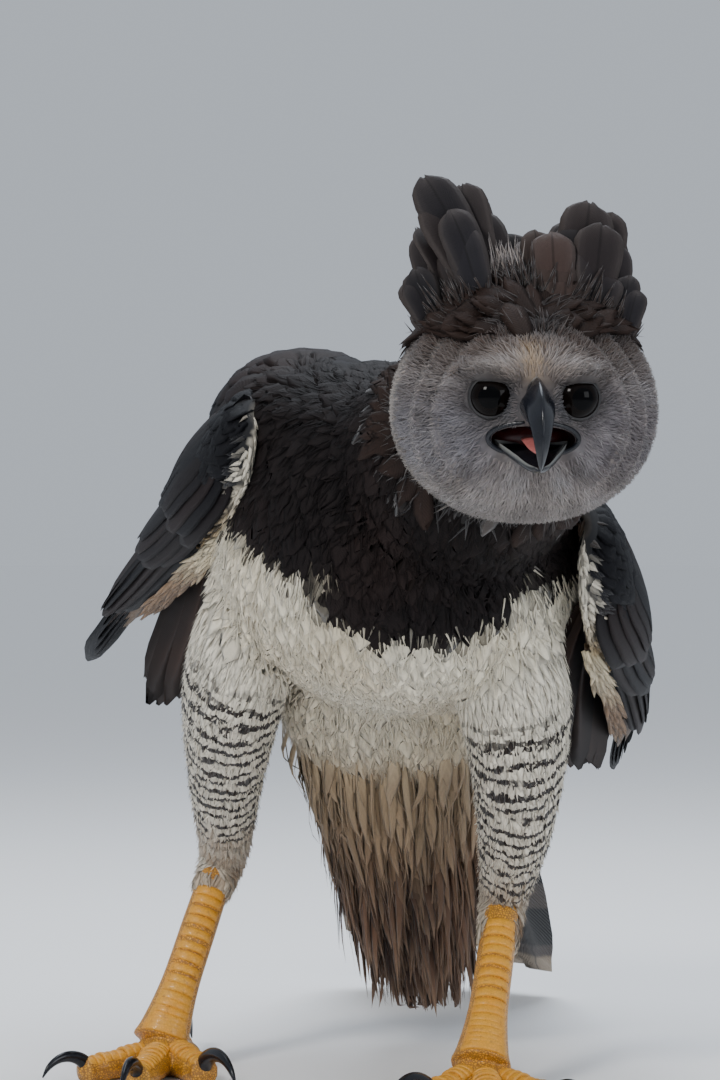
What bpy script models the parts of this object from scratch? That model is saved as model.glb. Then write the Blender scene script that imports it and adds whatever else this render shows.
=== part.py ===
"""A life-size harpy eagle standing on both feet, leaning forward with its head low.

The bird faces -Y, its left side is +X and +Z is up. Sizes and places are written in centimetres and turned
into metres by CM. Each named object is one solid, and neighbours keep GAP between their faces.
"""

import math

import bmesh
import bpy
import numpy as np
from mathutils import Matrix, Vector

CM = 0.01
GAP = 0.0003
CARVE = 0.00036

# The middle of the whole bird's box in plan, which becomes the origin on the floor.
BOX_MIDDLE = (-0.4, 11.1)

# Torso: stations from the rump to the breast as x, y, z, half width, height above, height below.
BODY_ROLL = 12.0
TORSO = (
    (4.3, 30.5, 24.6, 2.6, 2.0, 2.2),
    (4.1, 27.5, 25.6, 4.6, 3.6, 4.0),
    (3.5, 22.5, 28.0, 7.8, 6.4, 6.6),
    (2.9, 16.0, 31.0, 10.4, 8.6, 8.8),
    (2.5, 8.0, 33.8, 11.8, 10.0, 10.6),
    (2.6, 0.0, 36.0, 12.0, 10.2, 11.6),
    (3.3, -5.5, 37.4, 10.4, 8.6, 11.0),
    (4.2, -9.5, 38.2, 7.2, 6.0, 8.6),
    (4.8, -11.8, 38.4, 3.4, 3.0, 4.4),
)
# The fluffed belly that hangs between the legs towards the vent.
BELLY = (
    (2.2, 5.0, 30.5, 8.6, 6.0, 6.0),
    (2.2, 9.5, 26.5, 8.8, 6.0, 5.6),
    (2.5, 13.0, 22.6, 7.4, 5.4, 4.9),
    (3.0, 16.4, 18.6, 5.9, 4.4, 4.0),
    (3.4, 19.4, 14.8, 4.5, 3.2, 3.0),
    (3.8, 21.6, 11.6, 2.8, 2.0, 2.0),
)
# The raised back between the shoulders.
MANTLE = (
    (-3.4, 14.0, 39.4, 4.0, 3.0, 4.0),
    (-3.4, 9.0, 40.8, 6.0, 5.0, 5.0),
    (-3.1, 3.0, 41.5, 6.6, 5.6, 6.0),
    (-2.2, -3.0, 41.0, 6.2, 5.0, 6.0),
    (-0.6, -7.0, 40.0, 4.4, 3.4, 4.4),
)
NECK = (
    (4.4, -4.5, 38.8, 8.6, 6.0, 8.0),
    (6.0, -9.0, 39.8, 7.8, 5.6, 7.4),
    (7.8, -13.5, 41.2, 6.9, 5.6, 6.4),
    (8.8, -17.5, 42.0, 5.6, 5.0, 5.2),
)

# Head: its own frame has the middle of the facial disc's rim as origin, and looks towards the bill.
HEAD_AT = (9.3, -20.0, 42.3)
HEAD_YAW = 3.5
HEAD_PITCH = -6.0
HEAD_ROLL = 1.0
# Stations along the look direction: forward, raise, half width, height above, height below.
HEAD = (
    (-8.2, 0.4, 3.2, 3.0, 3.0),
    (-6.6, 0.3, 5.4, 4.9, 4.8),
    (-4.0, 0.1, 7.0, 6.1, 5.9),
    (-1.6, 0.0, 7.7, 6.6, 6.5),
    (0.2, 0.0, 7.7, 6.6, 6.6),
    (1.7, 0.1, 6.9, 6.1, 6.0),
    (3.0, 0.3, 5.6, 5.1, 4.8),
    (4.0, 0.4, 4.1, 3.8, 3.5),
    (4.7, 0.4, 2.4, 2.2, 2.3),
)
# The raised crown that carries the crest: side, forward and raise, then half sizes.
CROWN = (-0.2, -2.9, 4.3)
CROWN_SIZES = (5.5, 3.7, 4.4)
EYE_RADIUS = 1.3
EYE_SIDE = 2.32
EYE_RAISE = 0.98
EYE_FORWARD = 3.95
EYE_TURN = 0.22
LID_RADIUS = 1.16
LID_WIRE = 0.2
BROW = (2.45, 3.75, 2.3)
BROW_SIZES = (1.8, 0.95, 0.6)

# Bill: stations of the upper half as forward, raise, half width, half height.
UPPER_BILL = (
    (3.4, 0.55, 0.86, 1.45),
    (5.0, 0.80, 0.94, 1.38),
    (6.4, 0.72, 0.88, 1.18),
    (7.5, 0.20, 0.76, 0.98),
    (8.15, -0.60, 0.56, 0.72),
    (8.4, -1.50, 0.38, 0.48),
    (8.3, -2.30, 0.20, 0.26),
    (8.15, -2.75, 0.06, 0.08),
)
LOWER_BILL = (
    (3.2, -1.72, 2.05, 0.34),
    (4.6, -1.98, 1.66, 0.44),
    (5.9, -2.34, 1.12, 0.46),
    (6.9, -2.62, 0.62, 0.36),
    (7.5, -2.66, 0.22, 0.18),
)
# Mouth opening: forward, raise, half width, half height, depth.
MOUTH = (4.0, -1.02, 2.3, 0.56, 2.4)
NOSTRIL = (5.2, 1.2, 0.86)

# Crest feathers: root side and raise, tip side and raise, half width, depth behind the disc.
CREST = (
    (-1.9, 5.6, -5.8, 12.9, 1.35, 1.45),
    (-1.5, 5.9, -3.5, 12.5, 1.30, 2.35),
    (-2.3, 5.5, -4.4, 11.0, 1.10, 0.60),
    (-4.2, 5.0, -6.1, 10.0, 0.90, 1.90),
    (-4.9, 4.2, -6.3, 7.7, 0.95, 0.95),
    (2.9, 5.4, 3.65, 11.7, 1.45, 1.85),
    (3.6, 5.2, 4.2, 10.5, 1.35, 0.95),
    (4.4, 5.0, 4.95, 11.1, 1.10, 2.75),
    (1.6, 5.6, 1.4, 9.9, 1.20, 0.45),
    (1.1, 5.8, 0.5, 10.0, 0.90, 1.40),
    (4.6, 4.8, 5.2, 9.5, 0.95, 1.40),
    (5.2, 4.2, 5.8, 7.6, 0.75, 0.50),
    (-2.6, 4.8, -3.9, 11.2, 1.30, 3.60),
    (-0.2, 5.4, -0.9, 9.8, 1.20, 3.10),
    (2.4, 4.9, 3.0, 10.6, 1.30, 3.60),
)
CREST_CURL = 1.1
VANE_THICK = 0.08

# Wings: each station is the lower edge, the middle and the upper edge of the folded panel.
WING_RIGHT = (
    ((-6.2, -7.6, 41.6), (-6.6, -6.6, 42.9), (-6.0, -5.0, 43.8)),
    ((-6.6, -7.4, 38.0), (-8.3, -4.2, 41.2), (-5.4, 0.0, 44.4)),
    ((-8.4, -3.0, 34.8), (-10.8, 2.5, 39.0), (-5.2, 8.0, 44.0)),
    ((-11.2, 6.0, 32.4), (-13.4, 11.5, 36.0), (-5.2, 16.5, 41.2)),
    ((-15.1, 20.0, 29.4), (-16.5, 22.5, 32.3), (-7.5, 26.0, 36.8)),
    ((-18.9, 31.0, 26.6), (-19.4, 32.5, 28.6), (-13.0, 34.5, 31.8)),
    ((-21.6, 41.5, 25.0), (-21.7, 42.0, 25.7), (-20.1, 42.5, 26.8)),
)
WING_LEFT = (
    ((13.2, -7.2, 34.6), (13.9, -6.2, 36.0), (13.2, -4.4, 37.6)),
    ((13.0, -7.0, 30.8), (15.6, -3.2, 33.8), (11.8, 0.5, 40.4)),
    ((14.2, -1.0, 27.6), (17.2, 4.0, 31.2), (10.6, 8.0, 40.6)),
    ((16.2, 10.0, 24.4), (18.6, 13.0, 28.2), (10.9, 17.0, 37.2)),
    ((17.9, 22.0, 21.0), (19.6, 23.5, 24.8), (12.9, 26.5, 32.4)),
    ((19.2, 33.0, 18.4), (20.0, 34.0, 21.0), (16.2, 35.5, 26.0)),
    ((20.4, 41.5, 17.0), (20.6, 42.0, 18.0), (19.8, 42.5, 19.6)),
)
WING_CORE_END = 0.38
WING_CORE_OUT = 0.95
WING_CORE_IN = 1.3
# Wing tracts: count, first and last root (along, across), first and last tip, half width in shares of the
# panel's span, layer, step per feather and shingle tilt.
WING_TRACTS = {
    "secondaries": (7, (0.25, 0.20), (0.25, 0.86), (0.66, 0.24), (0.82, 0.84), 1.65, -0.10, 0.15),
    "greater_coverts": (5, (0.23, 0.20), (0.22, 0.84), (0.50, 0.20), (0.58, 0.84), 1.75, 0.45, 0.13),
    "median_coverts": (4, (0.19, 0.22), (0.18, 0.82), (0.37, 0.20), (0.43, 0.82), 1.75, 0.92, 0.13),
}
# Primaries lie as flat stacked blades: root and tip share, offset across at root and tip, and length.
PRIMARY_COUNT = 3
PRIMARY_HALF_WIDTH = 1.45
PRIMARY_TOP_LAYER = -0.7
PRIMARY_STEP = 0.32
PRIMARY_ACROSS = 0.26
ROOT_SINK = 0.5
# Inner flight feathers that droop below the leading edge, each wing's first and last tip.
DROOP_COUNT = 3
DROOP_HALF_WIDTH = 1.8
DROOPS = {
    "right": ((-12.3, 22.0, 22.6), (-16.3, 25.5, 23.8)),
    "left": ((14.6, 22.5, 18.0), (18.2, 26.0, 18.6)),
}

# Tail: twelve feathers, numbered from the bird's right to its left.
TAIL_COUNT = 12
TAIL_ROOT = (4.3, 26.5, 26.6)
TAIL_TIP = (7.5, 50.0, 3.6)
TAIL_ROLL = 24.0
TAIL_ROOT_SPREAD = 3.4
TAIL_TIP_SPREAD = 7.3
TAIL_HALF_WIDTH = 2.2
TAIL_LAYER = 0.125
# From the underside up: the outer feathers lie lowest, and each side's lie between the other's.
TAIL_LEVELS = (0, 2, 4, 6, 8, 10, 11, 9, 7, 5, 3, 1)
UPPER_TAIL_COVERTS = 5
UNDERTAIL_ROWS = ((7, 19.0, 16.0, 4.4, 13.6, 6.4), (6, 21.6, 18.4, 4.2, 12.6, 6.0))

# Legs, one for each side: hip, knee, mid shin, ankle, end of the feathered shank, foot joint.
LEGS = {
    "right": (
        (-5.6, 2.2, 31.5),
        (-7.9, 4.4, 26.0),
        (-8.8, 10.4, 19.8),
        (-9.2, 16.2, 13.9),
        (-10.1, 14.9, 11.2),
        (-12.8, 11.0, 2.9),
    ),
    "left": (
        (8.4, -2.0, 29.5),
        (9.7, -1.0, 24.0),
        (9.9, 3.4, 17.6),
        (9.4, 8.4, 12.0),
        (8.8, 6.0, 8.6),
        (7.7, 1.0, 2.9),
    ),
}
SHIN_ROWS = ((4.2, 4.6), (3.5, 4.4), (2.6, 3.2), (1.75, 2.1))
SHANK_RADII = (1.75, 1.7, 1.6, 1.5)
TARSUS_RADIUS = 1.3
TARSUS_SCUTES = 6
TOE_SCUTES = 2
SCUTE_TURNS = (-54, -18, 18, 54)
TOE_SCUTE_TURNS = (-50, 0, 50)
SCUTE_LIFT = 0.14
SCUTE_SINK = 0.3
PAD_HEIGHT = 1.1
PAD_ROWS = ((-2.2, 1.1), (-1.2, 2.0), (0.2, 2.3), (1.4, 1.9), (2.1, 1.0))
# Toes: turn from straight ahead, length, radius, claw arc length, claw radius.
TOES = {
    "inner_toe": (-42.0, 6.0, 1.14, 5.9, 0.60),
    "middle_toe": (-4.0, 8.0, 1.12, 5.2, 0.55),
    "outer_toe": (36.0, 6.6, 1.02, 4.2, 0.46),
    "hind_toe": (172.0, 5.2, 1.22, 7.2, 0.68),
}
FOOT_TURN = {"right": -14.0, "left": -6.0}
# Height of the axis over the floor as a share of the radius.
TOE_HEIGHT = 0.86
TOE_START = 1.5
TOE_STATIONS = 8
CLAW_STATIONS = 7
CLAW_CLEAR = 0.12
CLAW_RISE = 42.0
CLAW_DROP = -72.0

COLOURS = {
    "slate": ((0.035, 0.038, 0.048), 0.6),
    "grey": ((0.33, 0.31, 0.31), 0.8),
    "cream": ((0.72, 0.66, 0.52), 0.8),
    "barred": ((0.55, 0.53, 0.48), 0.8),
    "yellow": ((0.85, 0.52, 0.09), 0.5),
    "horn": ((0.02, 0.022, 0.028), 0.25),
    "eye": ((0.012, 0.009, 0.008), 0.08),
    "mouth": ((0.35, 0.06, 0.05), 0.5),
}


def clear_scene():
    for old in list(bpy.data.objects):
        bpy.data.objects.remove(old, do_unlink=True)


def material(name):
    made = bpy.data.materials.get(name)
    if made is None:
        made = bpy.data.materials.new(name)
        made.use_nodes = True
        colour, roughness = COLOURS[name]
        surface = made.node_tree.nodes["Principled BSDF"]
        surface.inputs["Base Color"].default_value = (*colour, 1.0)
        surface.inputs["Roughness"].default_value = roughness
        surface.inputs["Metallic"].default_value = 0.0
    return made


def vec(point):
    return np.array(point, float)


def unit(vector):
    return vector / np.linalg.norm(vector)


def smooth_rows(rows, count):
    """Rows of numbers read at count even steps of a Catmull-Rom curve through them."""
    rows = np.array(rows, float)
    padded = np.vstack([2 * rows[0] - rows[1], rows, 2 * rows[-1] - rows[-2]])
    found = []
    for at in np.linspace(0, len(rows) - 1, count):
        k = min(int(at), len(rows) - 2)
        t = at - k
        a, b, c, d = padded[k : k + 4]
        found.append(
            0.5 * (2 * b + (c - a) * t + (2 * a - 5 * b + 4 * c - d) * t**2 + (3 * b - a - 3 * c + d) * t**3)
        )
    return np.array(found)


def new_object(name, points, faces, colour="slate"):
    """A mesh object from points in centimetres, with its faces turned outwards."""
    mesh = bpy.data.meshes.new(name)
    mesh.from_pydata([tuple(p * CM) for p in points], [], faces)
    shape = bmesh.new()
    shape.from_mesh(mesh)
    bmesh.ops.recalc_face_normals(shape, faces=shape.faces)
    shape.to_mesh(mesh)
    shape.free()
    mesh.materials.append(material(colour))
    made = bpy.data.objects.new(name, mesh)
    bpy.context.scene.collection.objects.link(made)
    return made


def rings_object(name, rings, first_pole, last_pole, colour):
    """A closed tube over rings of equal count, ended by a pole at each end."""
    count = len(rings[0])
    points = [p for ring in rings for p in ring] + [first_pole, last_pole]
    faces = []
    for k in range(len(rings) - 1):
        for i in range(count):
            j = (i + 1) % count
            faces.append((k * count + i, k * count + j, (k + 1) * count + j, (k + 1) * count + i))
    start, end = len(points) - 2, len(points) - 1
    last = (len(rings) - 1) * count
    for i in range(count):
        j = (i + 1) % count
        faces.append((start, j, i))
        faces.append((end, last + i, last + j))
    return new_object(name, points, faces, colour)


def oval(centre, side, up, half_width, above, below, sides, power=2.0):
    """One ring of points: an oval whose upper and lower halves have their own heights."""
    ring = []
    for k in range(sides):
        angle = 2 * math.pi * (k + 0.5) / sides
        across, rise = math.cos(angle), math.sin(angle)
        swell = (abs(across) ** power + abs(rise) ** power) ** (-1 / power)
        height = above if rise > 0 else below
        ring.append(centre + side * across * swell * half_width + up * rise * swell * height)
    return ring


def tube(name, rows, samples, sides, colour, roll=0.0, side=None, power=2.0, floor=False):
    """A loft over rows of x, y, z, half width, above, below, with rounded ends."""
    rows = smooth_rows(rows, samples)
    centres = rows[:, :3]
    across = vec((math.cos(math.radians(roll)), 0, -math.sin(math.radians(roll)))) if side is None else unit(vec(side))
    rings = []
    for k, row in enumerate(rows):
        ahead = unit(centres[min(k + 1, samples - 1)] - centres[max(k - 1, 0)])
        right = unit(across - ahead * (across @ ahead))
        up = np.cross(ahead, right)
        ring = oval(row[:3], right, up, row[3], row[4], row[5], sides, power)
        if floor:
            ring = [vec((p[0], p[1], max(p[2], 0.0))) for p in ring]
        rings.append(ring)
    first_step = unit(centres[0] - centres[1])
    last_step = unit(centres[-1] - centres[-2])
    first_pole = centres[0] + first_step * rows[0, 3:].min() * 0.5
    last_pole = centres[-1] + last_step * rows[-1, 3:].min() * 0.5
    return rings_object(name, rings, first_pole, last_pole, colour)


def ball(name, centre, axes, sizes, around, up, colour):
    """A closed ellipsoid with three given axes."""
    mesh = bpy.data.meshes.new(name)
    shape = bmesh.new()
    bmesh.ops.create_uvsphere(shape, u_segments=around, v_segments=up, radius=1.0)
    frame = Matrix([[axes[c][r] * sizes[c] * CM for c in range(3)] for r in range(3)]).to_4x4()
    frame.translation = Vector(tuple(vec(centre) * CM))
    bmesh.ops.transform(shape, matrix=frame, verts=shape.verts)
    bmesh.ops.recalc_face_normals(shape, faces=shape.faces)
    shape.to_mesh(mesh)
    shape.free()
    mesh.materials.append(material(colour))
    made = bpy.data.objects.new(name, mesh)
    bpy.context.scene.collection.objects.link(made)
    return made


def take_result(made):
    """Puts the evaluated mesh in place of the object's own and drops its modifiers."""
    graph = bpy.context.evaluated_depsgraph_get()
    graph.update()
    mesh = bpy.data.meshes.new_from_object(made.evaluated_get(graph))
    made.modifiers.clear()
    made.data = mesh


def keep_largest(made):
    """Keeps only the largest closed surface, which fills sealed hollows and drops loose scraps."""
    shape = bmesh.new()
    shape.from_mesh(made.data)
    left = set(shape.faces)
    groups = []
    while left:
        seed = left.pop()
        group, rim = [seed], [seed]
        while rim:
            for edge in rim.pop().edges:
                for face in edge.link_faces if len(edge.link_faces) == 2 else ():
                    if face in left:
                        left.discard(face)
                        group.append(face)
                        rim.append(face)
        groups.append(group)
    keep = set(max(groups, key=lambda group: sum(face.calc_area() for face in group)))
    bmesh.ops.delete(shape, geom=[f for f in shape.faces if f not in keep], context="FACES")
    bmesh.ops.triangulate(shape, faces=shape.faces)
    shape.to_mesh(made.data)
    shape.free()


def combine(made, others, operation):
    """One Boolean of the object with a collection of closed objects, which are then removed.

    The MANIFOLD solver is used because EXACT is slow on many overlapping vanes.
    """
    group = bpy.data.collections.new("operands")
    bpy.context.scene.collection.children.link(group)
    for other in others:
        bpy.context.scene.collection.objects.unlink(other)
        group.objects.link(other)
    step = made.modifiers.new("combine", "BOOLEAN")
    step.operation = operation
    step.operand_type = "COLLECTION"
    step.collection = group
    step.solver = "MANIFOLD"
    take_result(made)
    for other in others:
        bpy.data.objects.remove(other, do_unlink=True)
    bpy.data.collections.remove(group)
    keep_largest(made)
    return made


def fuse(made, others):
    return combine(made, others, "UNION")


def swollen_copy(neighbour, by):
    """A helper copy of a solid whose surface stands out by a small distance."""
    copy = neighbour.copy()
    copy.data = neighbour.data.copy()
    bpy.context.scene.collection.objects.link(copy)
    shape = bmesh.new()
    shape.from_mesh(copy.data)
    shape.normal_update()
    moves = [(v, v.co + v.normal * by) for v in shape.verts]
    for vert, place in moves:
        vert.co = place
    shape.to_mesh(copy.data)
    shape.free()
    return copy


def carve(made, neighbours):
    """Cuts the object back to meet its neighbours face to face, with the gap between them."""
    for neighbour in neighbours:
        combine(made, [swollen_copy(neighbour, CARVE)], "DIFFERENCE")
    return made


def plate(name, rows, normals, colour, thick=VANE_THICK):
    """A thin closed plate over rows of points, both faces split into triangles along the same diagonals."""
    wide = len(rows[0])
    top = [p + n * thick / 2 for row, n in zip(rows, normals) for p in row]
    low = [p - n * thick / 2 for row, n in zip(rows, normals) for p in row]
    under = len(top)
    faces = []
    for k in range(len(rows) - 1):
        for j in range(wide - 1):
            a, b = k * wide + j, k * wide + j + 1
            c, d = a + wide, b + wide
            faces += [(a, c, d), (a, d, b), (under + a, under + d, under + c), (under + a, under + b, under + d)]
        for a, c in ((k * wide, (k + 1) * wide), (k * wide + wide - 1, (k + 1) * wide + wide - 1)):
            faces += [(a, under + a, under + c), (a, under + c, c)]
    for k in (0, len(rows) - 1):
        for j in range(wide - 1):
            a, b = k * wide + j, k * wide + j + 1
            faces += [(a, b, under + b), (a, under + b, under + a)]
    return new_object(name, top + low, faces, colour)


def vane(name, spine, across, normals, half_widths, colour, thick=VANE_THICK):
    """A flat feather or lock along a spine."""
    rows = [[p - a * w, p + a * w] for p, a, w in zip(spine, across, half_widths)]
    return plate(name, rows, normals, colour, thick)


# How wide a feather is along its length, from its sunk root to its rounded tip.
FEATHER_STEPS = (0.0, 0.45, 0.86, 1.0)
FEATHER_WIDTHS = (0.5, 1.0, 0.9, 0.38)
LOCK_STEPS = (0.0, 0.35, 0.7, 1.0)
LOCK_WIDTHS = (0.7, 1.0, 0.72, 0.1)


class WingPanel:
    """The curved surface of a folded wing, read at a share along it and a share across it."""

    def __init__(self, stations, outward):
        flat = [sum(row, ()) for row in stations]
        self.rows = smooth_rows(flat, 61)
        self.outward = outward

    def at(self, along, across):
        place = min(max(along, 0.0), 1.0) * (len(self.rows) - 1)
        k = min(int(place), len(self.rows) - 2)
        row = self.rows[k] * (1 - place + k) + self.rows[k + 1] * (place - k)
        low, middle, high = row[:3], row[3:6], row[6:]
        v = across
        return low * (1 - v) * (1 - 2 * v) + middle * 4 * v * (1 - v) + high * v * (2 * v - 1)

    def slope(self, along, across):
        return (self.at(along, across + 0.01) - self.at(along, across - 0.01)) / 0.02

    def normal(self, along, across):
        ahead = self.at(min(along + 0.01, 1.0), across) - self.at(max(along - 0.01, 0.0), across)
        return unit(np.cross(ahead, self.slope(along, across)) * self.outward)


def panel_vane(name, panel, root, tip, half_width, layer, tilt, colour):
    """A feather that follows a wing panel from a root to a tip, at a height above it and tilted like a shingle."""
    rows, normals = [], []
    for step, share in zip(FEATHER_STEPS, FEATHER_WIDTHS):
        u = root[0] + (tip[0] - root[0]) * step
        v = root[1] + (tip[1] - root[1]) * step
        reach = float(np.linalg.norm(panel.slope(u, v)))
        height = layer - ROOT_SINK * max(0.0, 1 - step / 0.4)
        row = []
        for lane in (-1.0, 0.0, 1.0):
            off = lane * half_width * share
            place = v + off / reach
            inside = min(max(place, 0.0), 1.0)
            normal = panel.normal(u, inside)
            beyond = unit(panel.slope(u, inside)) * (place - inside) * reach
            row.append(panel.at(u, inside) + beyond + normal * (height - tilt * off))
        rows.append(row)
        normals.append(panel.normal(u, v))
    return plate(name, rows, normals, colour)


def primary(name, panel, k):
    """One long wing feather: a flat blade in a stack along the wing's lower edge, the outermost lowest."""
    share = k / (PRIMARY_COUNT - 1)
    rows, normals = [], []
    for step, wide in zip(FEATHER_STEPS, FEATHER_WIDTHS):
        u = 0.27 + (1.0 - 0.2 * share - 0.27) * step
        span = float(np.linalg.norm(panel.at(u, 1.0) - panel.at(u, 0.0)))
        off = (-0.9 + 2.2 * share) * (1 - 0.35 * step) * (0.4 + 0.6 * min(1.0, span / 6.0))
        v = max(PRIMARY_ACROSS + off / span, 0.0)
        normal = panel.normal(u, v)
        across = unit(panel.slope(u, v))
        layer = PRIMARY_TOP_LAYER - PRIMARY_STEP * (PRIMARY_COUNT - 1 - k)
        middle = panel.at(u, v) + normal * layer
        half = PRIMARY_HALF_WIDTH * wide * (1 - 0.3 * step)
        rows.append([middle - across * half, middle + across * half])
        normals.append(normal)
    return plate(name, rows, normals, "slate")


def wing(side, stations, outward):
    """The folded wing: a padded arm and hand, with its feathers in overlapping tiers."""
    panel = WingPanel(stations, outward)
    rings = []
    lanes = 6
    for k in range(7):
        u = 0.004 + (WING_CORE_END - 0.004) * k / 6
        fade = max(math.sin(math.pi * (0.2 + 0.78 * k / 6)) ** 0.6, 0.12)
        ring = []
        for way, deep in ((1, WING_CORE_OUT), (-1, -WING_CORE_IN)):
            for i in range(lanes):
                t = i / lanes if way == 1 else 1 - i / lanes
                v = 0.02 + 0.96 * t
                round_off = 1 - abs(2 * t - 1) ** 3
                ring.append(panel.at(u, v) + panel.normal(u, v) * deep * round_off * fade)
        rings.append(ring)
    first = sum(rings[0]) / len(rings[0])
    last = panel.at(WING_CORE_END + 0.02, 0.5)
    made = rings_object(f"wing_{side}", rings, first, last, "slate")
    feathers = [primary(f"primary_{k}", panel, k) for k in range(PRIMARY_COUNT)]
    first_tip, last_tip = (vec(p) for p in DROOPS[side])
    for k in range(DROOP_COUNT):
        share = k / (DROOP_COUNT - 1)
        along = 0.24 + 0.1 * share
        root = panel.at(along, 0.3) - panel.normal(along, 0.3) * 0.55
        tip = first_tip + (last_tip - first_tip) * share
        ahead = unit(tip - root)
        across = unit(last_tip - first_tip - ahead * ((last_tip - first_tip) @ ahead))
        out = np.cross(ahead, across) * -outward
        spine = [root + (tip - root) * t + out * (0.15 * k + math.sin(math.pi * t)) for t in FEATHER_STEPS]
        widths = [DROOP_HALF_WIDTH * wide for wide in FEATHER_WIDTHS]
        count = len(spine)
        feathers.append(vane(f"droop_{k}", spine, [across] * count, [out] * count, widths, "slate"))
    for tract, row in WING_TRACTS.items():
        count, first_root, last_root, first_tip, last_tip, half_width, layer, tilt = row
        for k in range(count):
            share = k / (count - 1)
            root = [a + (b - a) * share for a, b in zip(first_root, last_root)]
            tip = [a + (b - a) * share for a, b in zip(first_tip, last_tip)]
            feathers.append(panel_vane(f"{tract}_{k}", panel, root, tip, half_width, layer, tilt, "slate"))
    return fuse(made, feathers)


def head_frame():
    """The head's origin with its side, look and up directions."""
    yaw, pitch, roll = (math.radians(a) for a in (HEAD_YAW, HEAD_PITCH, HEAD_ROLL))
    look = vec((math.sin(yaw) * math.cos(pitch), -math.cos(yaw) * math.cos(pitch), math.sin(pitch)))
    level = vec((math.cos(yaw), math.sin(yaw), 0))
    rise = np.cross(level, -look)
    side = level * math.cos(roll) - rise * math.sin(roll)
    return vec(HEAD_AT), side, look, np.cross(side, -look)


HEAD_ORIGIN, HEAD_SIDE, HEAD_LOOK, HEAD_UP = head_frame()


def on_head(side, forward, raised):
    return HEAD_ORIGIN + HEAD_SIDE * side + HEAD_LOOK * forward + HEAD_UP * raised


def head_loft(name, rows, samples, sides, colour, power=2.0):
    """A loft in the head's frame over rows of forward, raise, half width, above, below."""
    placed = [(*on_head(0, row[0], row[1]), *row[2:]) for row in rows]
    return tube(name, placed, samples, sides, colour, side=HEAD_SIDE, power=power)


def crest_feathers():
    """The raised crest, feather by feather, in one group on each side of the parting."""
    feathers = []
    for k, (root_side, root_raise, tip_side, tip_raise, half_width, depth) in enumerate(CREST):
        root = on_head(root_side, -depth, root_raise)
        tip = on_head(tip_side, -depth, tip_raise)
        long = float(np.linalg.norm(tip - root))
        ahead = unit(tip - root)
        side = unit(np.cross(ahead, -HEAD_LOOK))
        spine = [root + ahead * long * t - HEAD_LOOK * CREST_CURL * t**2 for t in FEATHER_STEPS]
        normals = [unit(HEAD_LOOK + ahead * 2 * CREST_CURL / long * t) for t in FEATHER_STEPS]
        widths = [half_width * wide for wide in FEATHER_WIDTHS]
        feathers.append(vane(f"crest_{k}", spine, [side] * len(spine), normals, widths, "slate"))
    return feathers


def gaze_of(way):
    """The eye's centre and its outward, level and upward directions."""
    gaze = unit(HEAD_LOOK + HEAD_SIDE * way * EYE_TURN)
    level = unit(np.cross(HEAD_UP, gaze))
    return on_head(way * EYE_SIDE, EYE_FORWARD, EYE_RAISE), gaze, level, np.cross(gaze, level)


def lid_ring(way):
    """The raised rim of bare lid round one eye."""
    eye, gaze, level, rise = gaze_of(way)
    around, wire = 12, 4
    points, faces = [], []
    for i in range(around):
        turn = 2 * math.pi * i / around
        out = level * math.cos(turn) + rise * math.sin(turn)
        middle = eye + gaze * 0.62 + out * LID_RADIUS
        for j in range(wire):
            twist = 2 * math.pi * j / wire
            points.append(middle + (out * math.cos(twist) + gaze * math.sin(twist)) * LID_WIRE)
            a, b = i * wire + j, i * wire + (j + 1) % wire
            c, d = (i + 1) % around * wire + j, (i + 1) % around * wire + (j + 1) % wire
            faces.append((a, b, d, c))
    return new_object(f"lid_{way}", points, faces, "grey")


def head():
    """The head with its facial disc, brows, lids and crest."""
    made = head_loft("head", HEAD, 13, 20, "grey", power=2.1)
    extras = [ball("crown", on_head(*CROWN), (HEAD_SIDE, HEAD_LOOK, HEAD_UP), CROWN_SIZES, 12, 6, "grey")]
    for way in (-1, 1):
        slant = unit(HEAD_SIDE * way + HEAD_UP * 0.22 - HEAD_LOOK * 0.35)
        over = unit(HEAD_UP - slant * (HEAD_UP @ slant))
        brow = on_head(way * BROW[0], BROW[1], BROW[2])
        extras.append(ball(f"brow_{way}", brow, (slant, np.cross(slant, over), over), BROW_SIZES, 10, 6, "grey"))
        extras.append(lid_ring(way))
    return fuse(made, extras + crest_feathers())


def eyes():
    made = []
    for name, way in (("eye_right", -1), ("eye_left", 1)):
        eye, gaze, level, rise = gaze_of(way)
        made.append(ball(name, eye, (level, rise, gaze), (EYE_RADIUS,) * 3, 12, 8, "eye"))
    return made


def bill():
    """The hooked upper bill with its cere and nostrils, and the scoop of the lower bill."""
    upper = head_loft("bill_upper", [(f, r, w, h, h) for f, r, w, h in UPPER_BILL], 12, 8, "horn")
    forward, raised, side = NOSTRIL
    slits = []
    for way in (-1, 1):
        axes = (HEAD_SIDE, unit(HEAD_LOOK + HEAD_UP * 0.9), unit(HEAD_UP - HEAD_LOOK * 0.9))
        slits.append(ball(f"slit_{way}", on_head(way * side, forward, raised), axes, (0.3, 0.3, 0.13), 8, 4, "horn"))
    combine(upper, slits, "DIFFERENCE")
    lower = head_loft("bill_lower", [(f, r, w, h * 0.75, h) for f, r, w, h in LOWER_BILL], 7, 8, "horn", power=2.4)
    return upper, lower


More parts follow.
